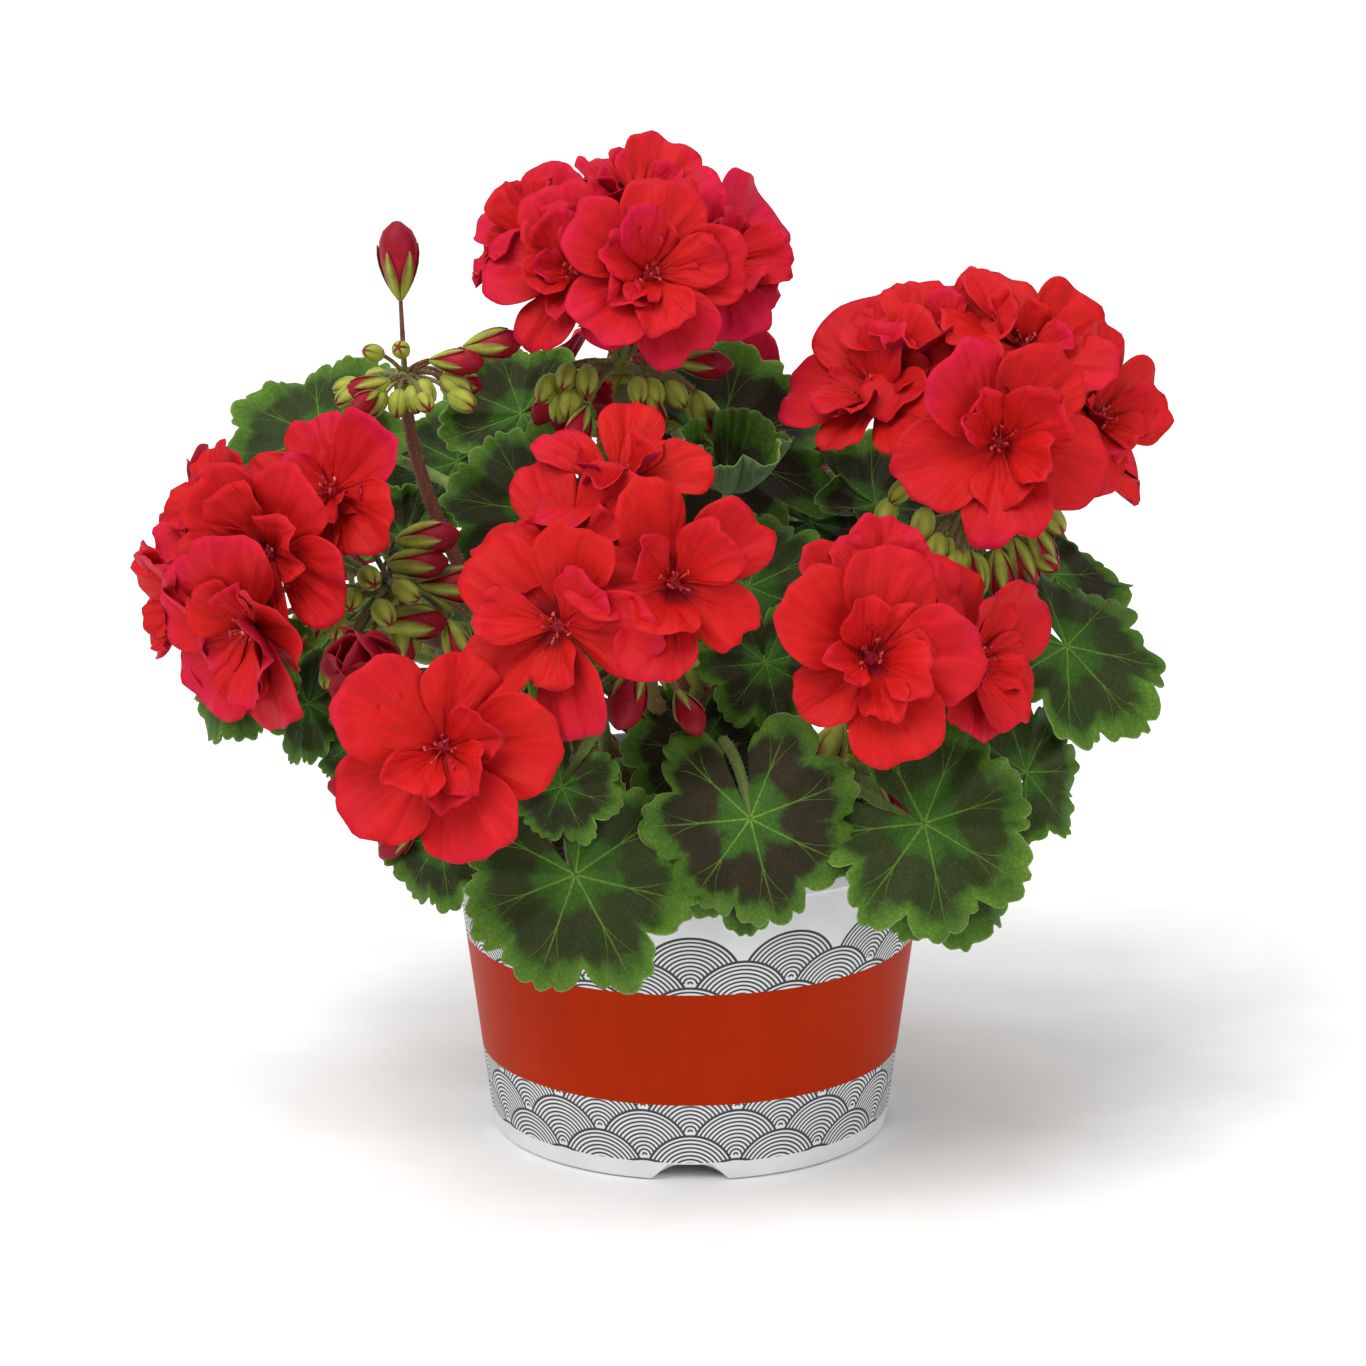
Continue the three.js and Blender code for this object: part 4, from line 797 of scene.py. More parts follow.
# One petal: rays from its claw to a rounded margin, cupped, waved, rolled, lifted, turned
def petalPart(frameOf, size, length, spread, lift, turn, curl, ruffle, seed, rows, columns, crimsonAndShade,
              fold=0.0):
    v = (np.linspace(0, 1, rows + 1) ** 0.9)[:, None]
    s = np.linspace(-1, 1, columns + 1)[None, :]
    s = (s + np.sin(s * math.pi / 2)) / 2  # closer together at the sides, where the margin turns
    draw = [chance(seed, k) for k in range(50, 64)]
    dip = (s - petal["notchAside"] * (draw[6] - 0.5)) / petal["notchWide"]
    notch = petal["notch"] * draw[0] * np.exp(-dip ** 2)
    uneven = 1 - notch + petal["lopsided"] * (draw[1] - 0.5) * s
    for depth, bends, pick in petal["frills"]:
        uneven = uneven + depth * np.sin(bends * s + drawPhase * draw[pick])
    margin = (1 - np.abs(s) ** petal["shoulders"] + 1e-9) ** petal["roundness"]
    margin = length * between((petal["root"], 1), margin) * uneven
    r = v * margin
    x = r * np.cos(s * spread)
    y = r * np.sin(s * spread) + petal["claw"] * s * (1 - v)
    share = r / length
    width = petal["width"] * size
    z = petal["cup"] * width * (2 * y / width) ** 2 - curl * x * share
    for height, late, bends, pick in petal["waves"]:
        z = z + height * ruffle * share ** late * np.sin(bends * math.pi * s + drawPhase * draw[pick])
    height, outward, aside = petal["cross"]
    z = z + height * ruffle * share ** 2 * np.sin(outward * share + aside * s + drawPhase * draw[11])
    z = z - petal["nod"] * length * (draw[4] - petal["nodUp"]) * share ** 4  # the tip nods or lifts
    groove = petal["groove"] * np.exp(-(y / petal["grooveWide"]) ** 2)
    z = z - groove * share * (1 - share) * 4 + fold * np.abs(y) * share
    roll = petal["roll"] * between(petal["rolls"], draw[10])
    y, z = y * math.cos(roll), z + y * math.sin(roll)
    x, z = spun(x, z, lift)
    x, y = spun(x + floret["hub"], y, turn)
    grid = placed(gridOf(x, y, z), frameOf[0], frameOf[2], frameOf[1])
    rim = petal["thickness"] * (1 - petal["thinning"] * v ** 6) * np.ones_like(s)
    # the tint carries the head's crimson shift; a shift below 0 is painted shade
    return sheet(grid, rim, gridOf((s + 1) / 2, share), tint=draw[5] + crimsonAndShade)


def floretParts(head, plan, index, young):
    seed = head["seed"] * 20 + index
    size = plan[3]
    frameOf = floretFrame(head, plan)
    first = wholeTurn * chance(seed, 9)
    step = wholeTurn / floret["petals"]
    shares = petalShares.get(head["name"], {})
    # the head's crimson shift; below 0 it darkens the petals as painted shade
    crimsonAndShade = head.get("crimsonAndShade", 0)
    parts = []
    for k in range(floret["petals"]):
        lift = between(floret["lift"], chance(seed, 20 + k))
        curl = between(floret["curl"], chance(seed, 30 + k))
        length = floret["length"] * size * shares.get((index, k), 1) - floret["hub"]
        if young:
            lift, curl = youngFloret["lift"] + lift, youngFloret["curl"]
        spread = floret["spread"] * head.get("slim", 1) * between(floret["spreads"], chance(seed, 60 + k))
        parts.append(petalPart(frameOf, size, length, spread, lift, first + k * step, curl,
                               floret["ruffle"] * size, seed * 7 + k, floret["rows"], floret["columns"],
                               crimsonAndShade))
    low, high = head["doubles"]
    count = youngFloret["inner"] if young else low + round((high - low) * chance(seed, 10))
    for k in range(count):
        draw = seed * 13 + k
        length = size * between(inner["length"], chance(draw, 11))
        lift = between(inner["lift"], chance(draw, 12))
        if young:
            lift = youngFloret["innerLift"] + youngFloret["innerShare"] * lift
        turn = first + inner["turn"] * (k + inner["stray"] * chance(draw, 13)) + inner["start"]
        spread = floret["spread"] * between(inner["spreads"], chance(draw, 14))
        curl = between(inner["curl"], chance(draw, 15))
        parts.append(petalPart(frameOf, size, length, spread, lift, turn, curl, inner["ruffle"] * size,
                               draw, inner["rows"], inner["columns"], crimsonAndShade,
                               inner["fold"] * chance(draw, 16)))
    return parts


def placeFlorets():
    for head in heads:
        young = head.get("young")
        plans = list(enumerate(head["florets"]))
        parts = [p for i, plan in plans if i != young for p in floretParts(head, plan, i, False)]
        if parts:
            piece = build(f"{head['name']}_florets", parts, [petalFinish])
            carry(piece, "petal", f"{head['name']}_petals")
        if young:
            parts = floretParts(head, head["florets"][young], young, True)
            piece = build(f"{head['name']}_young_floret", parts, [rolledFinish])
            carry(piece, "petal", f"{head['name']}_young_petals")


placeFlorets()
print("florets ready")


# Buds: rolled petals in a cup of five pointed sepals. A ripe bud is longer and shows more red.
# Two values are those of a green bud and of a ripe one.
bud = {"length": 11.5, "lengths": (0.9, 1.2), "radius": 3.2, "base": (0.55, 0.95), "tip": 0.6,
       "ends": (0.02, 0.985), "sepals": 5, "sepalHalf": (0.72, 0.46), "sepalBlunt": (7, 2.1),
       "gap": 0.16, "keel": 0.14, "flare": 0.2, "thickness": 0.26, "tint": (0.35, 0.95)}
# How buds hang round an umbel. Two values are the limits of a draw.
# ripens: how fast the small ones and the large ones, which are over the size given, turn ripe
hanging = {"reach": 15.0, "reaches": (0.75, 1.25), "stray": 0.6, "fall": (2, 9),
           "tilt": (-25, -70), "sizes": (0.8, 1.15), "large": 0.8, "ripens": (0.15, 1.25)}
# girths: shares of the radius from its foot to its top
umbelHub = {"radius": 3.4, "height": 5.0, "foot": 1.5, "crest": 0.6, "girths": (0.6, 0.85, 1, 0.8, 0.2),
            "sides": 12, "bracts": 6, "bractLength": 5.0, "bractHalf": 1.5, "bractThickness": 0.35}


# The share of a bud's radius at a share of its length. A ripe one is fullest further out.
def budProfile(t, ripeness):
    base, tip = between(bud["base"], ripeness), bud["tip"]
    peak = (base / (base + tip)) ** base * (tip / (base + tip)) ** tip
    return t ** base * (1 - t) ** tip / peak


def budParts(at, along, size, ripeness, seed):
    xAxis = np.cross(along, up)
    xAxis = unit(xAxis) if np.dot(xAxis, xAxis) > 1e-6 else np.array([1.0, 0, 0])
    length = bud["length"] * size * between(bud["lengths"], ripeness)
    radius = bud["radius"] * size
    low, high = bud["ends"]
    t = np.linspace(low, high, 9)
    body = turned(t * length, budProfile(t, ripeness) * radius, 10, slot=1, ridge=0.05, ridges=5)
    cover = 0.98 - 0.1 * ripeness - 0.24 * ripeness ** 2  # the share that the sepals cover
    parts = [body]
    for k in range(bud["sepals"]):
        middle = wholeTurn * (k + 0.15 * chance(seed, k)) / bud["sepals"]
        v = np.linspace(0, 1, 7)[:, None]
        s = np.linspace(-1, 1, 5)[None, :]
        pointed = (1 - v ** between(bud["sepalBlunt"], ripeness)) ** 0.85
        angle = middle + s * (between(bud["sepalHalf"], ripeness) * pointed + 0.04)
        flare = bud["flare"] * ripeness * v ** 4 * size
        keel = bud["keel"] * (1 - np.abs(s)) * (1 - v)
        tall = np.clip(low + v * cover, low, high)
        out = budProfile(tall, ripeness) * radius + bud["gap"] + flare + keel
        grid = gridOf(out * np.cos(angle), out * np.sin(angle), tall * length)
        # columns run round the bud, so rows x columns looks inwards and the order is turned
        parts.append(sheet(grid[:, ::-1], bud["thickness"], gridOf((s + 1) / 2, v),
                           tint=between(bud["tint"], ripeness)))
    for part in parts:
        part["verts"] = placed(part["verts"], at, xAxis, along)
    return parts


def budPlace(head, k):
    size = head.get("size", 1)
    seed = head["seed"]
    azimuth = 360 * (k + hanging["stray"] * chance(seed, k)) / head["buds"]
    reach = hanging["reach"] * size * between(hanging["reaches"], chance(seed, 30 + k))
    droop = head.get("droop", 1)
    fall = between(hanging["fall"], chance(seed, 60 + k)) * size * droop
    at = np.array(head["umbel"], float) + direction(azimuth, 0) * reach - up * fall
    along = direction(azimuth, between(hanging["tilt"], chance(seed, 90 + k)) * droop)
    return at, along, size * between(hanging["sizes"], chance(seed, 120 + k))


alongLeaflet, acrossLeaflet = np.linspace(0, 1, 5)[:, None], np.linspace(-1, 1, 4)[None, :]


# A small pointed leaf turned about z: its midrib's course, half its width at the root, how
# late it narrows and half its width at the tip
def leaflet(x, z, half, taper, tip, turn, thickness, tint):
    y = half * acrossLeaflet * (1 - alongLeaflet ** taper) + tip * acrossLeaflet
    x, y = spun(x, y, turn)
    return sheet(gridOf(x, y, z), thickness, gridOf((acrossLeaflet + 1) / 2, alongLeaflet), tint=tint)


# The cup of sepals behind a floret, and the dark red middle in front of it. cup, eye: heights
# and radii. rise, droop: how far a sepal's midrib goes up and then down
calyx = {"sides": 8, "cup": ((-5.2, -4.4, -3.0, -1.2, -0.5), (0.7, 1.5, 1.9, 1.7, 0.9)),
         "eye": ((-0.6, 0.7, 1.2), (2.0, 1.7, 0.4)), "root": 0.7, "length": 7.0, "half": 1.5,
         "low": -4.2, "rise": 2.6, "droop": 1.6, "thickness": 0.4, "stray": 0.2}


def calyxParts(frameOf, size, seed):
    at, facing, xAxis = frameOf
    v = alongLeaflet
    parts = []
    for k in range(bud["sepals"]):
        turn = wholeTurn * (k + 0.5 + calyx["stray"] * chance(seed, k)) / bud["sepals"]
        midrib = calyx["low"] + calyx["rise"] * v ** 0.7 - calyx["droop"] * v ** 2
        parts.append(leaflet(calyx["root"] + calyx["length"] * size * v, midrib, calyx["half"] * size,
                             1.6, 0.1, turn, calyx["thickness"], 0.5))
    parts.append(turned(*calyx["cup"], calyx["sides"]))
    parts.append(turned(*calyx["eye"], calyx["sides"], slot=1))
    for part in parts:
        part["verts"] = placed(part["verts"], at, xAxis, facing)
    return parts


# The knob that all stalks of a head spring from, with its bracts
def hubParts(head):
    size = head.get("size", 1)
    tall, wide, v = umbelHub["height"] * size, umbelHub["radius"] * size, alongLeaflet
    heights = (-tall / 2 - umbelHub["foot"], -tall / 2, 0, tall / 2, tall / 2 + umbelHub["crest"])
    parts = [turned(heights, [girth * wide for girth in umbelHub["girths"]], umbelHub["sides"])]
    long = umbelHub["bractLength"] * size
    for k in range(umbelHub["bracts"]):
        turn = wholeTurn * (k + 0.3 * chance(head["seed"], 200 + k)) / umbelHub["bracts"]
        parts.append(leaflet(0.8 * wide + long * v * 0.75, -tall / 2 + 1.0 - long * v ** 1.6 * 0.8,
                             umbelHub["bractHalf"] * size, 1.4, 0.08, turn, umbelHub["bractThickness"], 0.4))
    for part in parts:
        part["verts"] = part["verts"] + np.array(head["umbel"], float)
    return parts


# Courses are lists of points with a girth and a tint at each end. Geometry nodes make
# them round stalks with hairs.
def bezier(points, steps):
    t = np.linspace(0, 1, steps + 1)[:, None]
    p = [np.asarray(q, float) for q in points]
    if len(p) == 3:
        return (1 - t) ** 2 * p[0] + 2 * t * (1 - t) * p[1] + t ** 2 * p[2]
    return (1 - t) ** 3 * p[0] + 3 * t * (1 - t) ** 2 * p[1] + 3 * t ** 2 * (1 - t) * p[2] + t ** 3 * p[3]


def course(points, girth, tint):
    share = np.linspace(0, 1, len(points))
    return {"points": np.asarray(points), "girth": between(girth, share), "tint": between(tint, share)}


# onStems, onPedicels: how long the hairs are in millimetres, and how many stand on a mm2
hairs = {"radius": 0.04, "onStems": (1.0, 0.5), "onPedicels": (0.8, 1.2), "seed": 3}


def stalkTree():
    length, density = hairs["onStems"]
    sizes = {"Hair density": density * 1e6, "Hair length": length * mm, "Hair radius": hairs["radius"] * mm}
    tree, given = geometryTree("hairyStalks", sizes, hairs["seed"])
    girth = add(tree, "GeometryNodeInputNamedAttribute", {"Name": "girth"}, data_type="FLOAT")
    lines = add(tree, "GeometryNodeMeshToCurve", {"Mesh": given["Geometry"]})
    lines = add(tree, "GeometryNodeSetCurveRadius", {"Curve": lines, "Radius": girth})
    ring = add(tree, "GeometryNodeCurvePrimitiveCircle", {"Resolution": 9, "Radius": 1.0})
    tubes = add(tree, "GeometryNodeCurveToMesh", {"Curve": lines, "Profile Curve": ring, "Scale": girth,
                "Fill Caps": True})
    smooth = add(tree, "GeometryNodeSetShadeSmooth", {"Geometry": tubes})
    bark = add(tree, "GeometryNodeSetMaterial", {"Geometry": smooth, "Material": stalkFinish})
    spots = add(tree, "GeometryNodeDistributePointsOnFaces", {"Mesh": tubes, "Density": given["Hair density"],
                "Seed": given["Seed"]})
    cone = add(tree, "GeometryNodeMeshCone", {"Vertices": 3, "Radius Top": 0.0,
               "Radius Bottom": given["Hair radius"], "Depth": given["Hair length"]}, fill_type="NONE")
    tilt = add(tree, "FunctionNodeRandomValue", {0: (-0.5, -0.5, 0.0), 1: (0.5, 0.5, 6.28),
               "Seed": given["Seed"]}, data_type="FLOAT_VECTOR")
    turnedHair = add(tree, "FunctionNodeRotateRotation", {"Rotation": spots.outputs["Rotation"],
                     "Rotate By": tilt}, rotation_space="LOCAL")
    tall = add(tree, "FunctionNodeRandomValue", {2: 0.6, 3: 1.3, "Seed": given["Seed"]}, data_type="FLOAT")
    coat = add(tree, "GeometryNodeInstanceOnPoints", {"Points": spots.outputs["Points"], "Instance": cone,
               "Rotation": turnedHair, "Scale": tall.outputs[1]})
    coat = add(tree, "GeometryNodeRealizeInstances", {"Geometry": coat})
    coat = add(tree, "GeometryNodeSetMaterial", {"Geometry": coat, "Material": hairFinish})
    both = add(tree, "GeometryNodeJoinGeometry", {0: coat})
    tree.links.new(bark.outputs[0], both.inputs[0])
    add(tree, "NodeGroupOutput", {0: both})
    return tree


stalkGroup = stalkTree()


def stalks(name, courses, hairCoat):
    verts, edges, girth, tint = [], [], [], []
    for item in courses:
        start = len(verts)
        verts += (item["points"] * mm).tolist()
        edges += [(start + i, start + i + 1) for i in range(len(item["points"]) - 1)]
        girth += (item["girth"] * mm).tolist()
        tint += item["tint"].tolist()
    mesh = bpy.data.meshes.new(name)
    mesh.from_pydata(verts, edges, [])
    mesh.attributes.new("girth", "FLOAT", "POINT").data.foreach_set("value", girth)
    mesh.attributes.new("tint", "FLOAT", "POINT").data.foreach_set("value", tint)
    length, density = hairCoat
    return grown(newObject(name, mesh), stalkGroup, {
        "Hair density": density * 1e6, "Hair length": length * mm, "Seed": hairs["seed"]})


# girth, tint: radii at the lower and the upper end, and the tints, which redden from 0 to 1.
# aside, rise: where a stalk has turned up, and arrive: where it turns to its end, as shares of
# its span. joints: where the first and the last stalk leave a branch, as shares of its length
crown = {"bottom": 54.0, "middle": 71.0, "top": 88.0, "fork": 10.0, "girth": (5.2, 6.0),
         "tint": (0.9, 0.9)}
branch = {"girth": (4.6, 3.4), "tint": (0.9, 0.6), "steps": 24, "rise": 4, "sag": 3,
          "joints": (0.34, 0.96)}
petiole = {"girth": (1.7, 1.25), "tint": (0.32, 0.02), "steps": 16, "aside": 0.22, "rise": 0.26,
           "arrive": 0.35, "below": 0.9, "inset": 0.3, "slant": 0.8, "upright": 0.62}
stalk = {"girth": (2.6, 2.1), "tint": (0.85, 0.45), "steps": 18, "aside": 0.35, "rise": 0.25,
         "arrive": 0.35}


def branchPath(name):
    root = np.array([0, 0, crown["top"] - crown["fork"]])
    tip = np.array(branches[name], float)
    bend = (root + up * branch["rise"] + tip) / 2 - up * branch["sag"]
    return bezier((root, bend, tip), branch["steps"])


# Where a stalk leaves its branch: one after another, the low ones first
def joint(name, height):
    crowd = [(leaf[5], leaf[0][2]) for leaf in leaves] + [(h["branch"], h["umbel"][2]) for h in heads]
    crowd = sorted(z for owner, z in crowd if owner == name)
    share = between(branch["joints"], crowd.index(height) / max(1, len(crowd) - 1))
    path = branchPath(name)
    return path[round(share * (len(path) - 1))]


def petioleCourse(leaf):
    at, normal, midrib = leafFrame(leaf)
    start = joint(leaf[5], leaf[0][2])
    funnel = max(0, min(1, leaf[3] * 2))
    slant = midrib * petiole["slant"] * (1 - funnel)
    arrival = unit(slant + normal * between((petiole["upright"], 1), funnel))
    end = at - normal * petiole["below"] + midrib * petiole["inset"]
    span = np.linalg.norm(end - start)
    aside = unit((end[0] - start[0], end[1] - start[1], 0)) * petiole["aside"] * span
    rise = aside + up * petiole["rise"] * span + start
    points = bezier((start, rise, end - arrival * petiole["arrive"] * span, end), petiole["steps"])
    return course(points, petiole["girth"], petiole["tint"])


def stalkCourse(head):
    size = head.get("size", 1)
    lean = direction(*head["lean"])
    start = joint(head["branch"], head["umbel"][2])
    end = np.array(head["umbel"], float) - up * umbelHub["height"] * 0.5
    span = np.linalg.norm(end - start)
    aside = np.array([end[0] - start[0], end[1] - start[1], 0]) * stalk["aside"]
    rise = aside + up * stalk["rise"] * span + start
    points = bezier((start, rise, end - lean * stalk["arrive"] * span, end), stalk["steps"])
    flush = head.get("flush", 0)
    return course(points, [g * size for g in stalk["girth"]], [t + flush for t in stalk["tint"]])


def placeStems():
    trunk = [(0, 0, crown[level]) for level in ("bottom", "middle", "top")]
    courses = [course(trunk, crown["girth"], crown["tint"])]
    courses += [course(branchPath(name)[::3], branch["girth"], branch["tint"]) for name in branches]
    courses += [petioleCourse(leaf) for leaf in leaves]
    courses += [stalkCourse(head) for head in heads]
    carry(stalks("stalks_and_branches", courses, hairs["onStems"]), "stem", "stems")


# Small stalks of florets and buds: radii and tints at the umbel and at the far end. bow, sway:
# how far a floret's stalk bends up and at most aside. crest, pull: how far over a hanging bud
# its stalk turns down, and how near the umbel. redder: how a ripe bud's stalk reddens
pedicel = {"floret": ((0.75, 0.85), (0.25, 0.6)), "bud": ((0.8, 0.7), (0.25, 0.55)),
           "single": ((0.65, 0.5), (0.35, 0.55)), "upright": ((0.75, 0.5), (0.9, 1.0)),
           "bow": 2.0, "sway": 2, "crest": 5, "pull": 0.35, "redder": 0.45, "steps": 8, "fewSteps": 6}
uprightBud = {"size": 1.5, "ripeness": 0.95}


def placeUmbels():
    for head in heads:
        size = head.get("size", 1)
        centre = np.array(head["umbel"], float)
        courses, parts = [], hubParts(head)
        for index, plan in enumerate(head["florets"]):
            frameOf = floretFrame(head, plan)
            end = frameOf[0] - frameOf[1] * floret["neck"]
            side = np.cross(frameOf[1], up)
            sway = side * pedicel["sway"] * (chance(head["seed"], 300 + index) - 0.5)
            bow = (centre + end) / 2 + up * pedicel["bow"] + sway
            courses.append(course(bezier((centre, bow, end), pedicel["steps"]), *pedicel["floret"]))
            parts += calyxParts(frameOf, plan[3], head["seed"] * 31 + index)
        for k in range(head["buds"]):
            at, along, budSize = budPlace(head, k)
            pace = hanging["ripens"][1 if budSize > hanging["large"] else 0]
            ripeness = min(1.0, pace * chance(head["seed"], 150 + k))
            crest = at + up * pedicel["crest"] * size + (centre - at) * pedicel["pull"]
            girth, tint = pedicel["bud"]
            path = bezier((centre, crest, at), pedicel["steps"])
            courses.append(course(path, [g * size for g in girth], tint))
            parts += budParts(at, along, budSize, ripeness, head["seed"] * 17 + k)
        for k, (offset, azimuth, elevation, budSize, ripeness) in enumerate(singleBuds.get(head["name"], [])):
            at = centre + np.array(offset, float)
            along = direction(azimuth, elevation)
            bend = (centre + at) / 2 - along * 2 + up
            girth, (low, high) = pedicel["single"]
            path = bezier((centre, bend, at), pedicel["fewSteps"])
            courses.append(course(path, girth, (low, high + pedicel["redder"] * ripeness)))
            parts += budParts(at, along, budSize, ripeness, head["seed"] * 17 + 40 + k)
        if head.get("upright"):
            along = direction(*head["lean"])
            at = centre + along * head["upright"]
            bend = (centre + at) / 2 + up
            courses.append(course(bezier((centre, bend, at), pedicel["steps"]), *pedicel["upright"]))
            parts += budParts(at, along, uprightBud["size"], uprightBud["ripeness"], head["seed"] * 17 + 99)
        name = head["name"]
        node = f"{name}_umbel" if head["florets"] else name
        carry(build(f"{name}_buds", parts, [sepalFinish, rolledFinish]), "bud", node)
        carry(stalks(f"{name}_pedicels", courses, hairs["onPedicels"]), "bud")


placeStems()
placeUmbels()
print("stems, umbels and buds ready")


# Stamens: a small tuft in the middle of each floret
stamen = {"count": 8, "length": (3.5, 6.5), "lean": (12, 50), "radius": 0.16, "anther": 0.46}


def stamenTree():
    sizes = {"Filament radius": stamen["radius"] * mm, "Anther radius": stamen["anther"] * mm}
    tree, given = geometryTree("stamenTuft", sizes)
    aim = add(tree, "GeometryNodeInputNamedAttribute", {"Name": "aim"}, data_type="FLOAT_VECTOR")
    reach = add(tree, "GeometryNodeInputNamedAttribute", {"Name": "reach"}, data_type="FLOAT")
    turn = add(tree, "FunctionNodeAlignRotationToVector", {"Vector": aim}, axis="Z")
    rod = add(tree, "GeometryNodeMeshCylinder", {"Vertices": 5, "Side Segments": 1, "Fill Segments": 1,
              "Radius": given["Filament radius"], "Depth": 1.0})
    rod = add(tree, "GeometryNodeTransform", {"Geometry": rod, "Translation": (0, 0, 0.5)})
    stretch = add(tree, "ShaderNodeCombineXYZ", {0: 1.0, 1: 1.0, 2: reach})
    rods = add(tree, "GeometryNodeInstanceOnPoints", {"Points": given["Geometry"], "Instance": rod,
               "Rotation": turn, "Scale": stretch})
    ball = add(tree, "GeometryNodeMeshIcoSphere", {"Radius": given["Anther radius"], "Subdivisions": 1})
    ball = add(tree, "GeometryNodeTransform", {"Geometry": ball, "Scale": (1.0, 0.7, 1.7)})
    step = add(tree, "ShaderNodeVectorMath", {0: aim, "Scale": reach}, operation="SCALE")
    tips = add(tree, "GeometryNodeSetPosition", {"Geometry": given["Geometry"], "Offset": step})
    spin = add(tree, "FunctionNodeRandomValue", {0: (-1, -1, 0), 1: (1, 1, 6), "Seed": 5},
               data_type="FLOAT_VECTOR")
    balls = add(tree, "GeometryNodeInstanceOnPoints", {"Points": tips, "Instance": ball, "Rotation": spin})
    both = add(tree, "GeometryNodeJoinGeometry", {0: balls})
    tree.links.new(rods.outputs[0], both.inputs[0])
    real = add(tree, "GeometryNodeRealizeInstances", {"Geometry": both})
    done = add(tree, "GeometryNodeSetMaterial", {"Geometry": real, "Material": stamenFinish})
    add(tree, "NodeGroupOutput", {0: done})
    return tree


def placeStamens():
    points, aims, reaches = [], [], []
    for head in heads:
        for index, plan in enumerate(head["florets"]):
            at, facing, xAxis = floretFrame(head, plan)
            for k in range(stamen["count"]):
                draw = head["seed"] * 50 + index * 9 + k
                turn = wholeTurn * (k + chance(draw, 400)) / stamen["count"]
                lean = between(stamen["lean"], chance(draw, 401)) * degree
                x, y = spun(math.sin(lean), 0, turn)
                local = np.array([x, y, math.cos(lean)])
                points.append((at * mm).tolist())
                aims += placed(local, np.zeros(3), xAxis, facing).tolist()
                reaches.append(between(stamen["length"], chance(draw, 402)) * mm * plan[3])
    mesh = bpy.data.meshes.new("stamens")
    mesh.from_pydata(points, [], [])
    mesh.attributes.new("aim", "FLOAT_VECTOR", "POINT").data.foreach_set("vector", aims)
    mesh.attributes.new("reach", "FLOAT", "POINT").data.foreach_set("value", reaches)
    tufts = grown(newObject("stamens", mesh), stamenTree(), {
        "Filament radius": stamen["radius"] * mm, "Anther radius": stamen["anther"] * mm})
    carry(tufts, "petal")


placeStamens()
print("stamens ready")


# The pot: thin moulded polypropylene. Its heights are the frame's.
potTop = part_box("pot")[1].z / mm
pot = {"foot": 49.0, "collar": 60.5, "collarHeight": 8.0, "wallTop": 58.8, "wall": 1.2, "floor": 1.8,
       "pad": 30.0, "channel": 15.0, "channelRise": 3.4, "sides": 160, "sharp": 32 * degree}
potHole = {"count": 6, "radius": 4.0, "out": 38, "sides": 24, "from": -2, "to": 10}
potNotch = {"count": 4, "from": -53, "to": -44,
            "arch": ((-10.8, -1), (10.8, -1), (5.9, 3.8), (5.2, 4.4), (-5.2, 4.4), (-5.9, 3.8))}
potPrint = {"footBand": 4.8, "redLow": 20.3, "redHigh": 49.8, "scallops": 14, "scallop": 12.4,
            "rowStep": 6.6, "topRow": 59.0, "pitch": 1.05, "line": 0.5, "blur": 0.06, "rim": (0.75, 0.6),
            "middleRadius": 54.0}


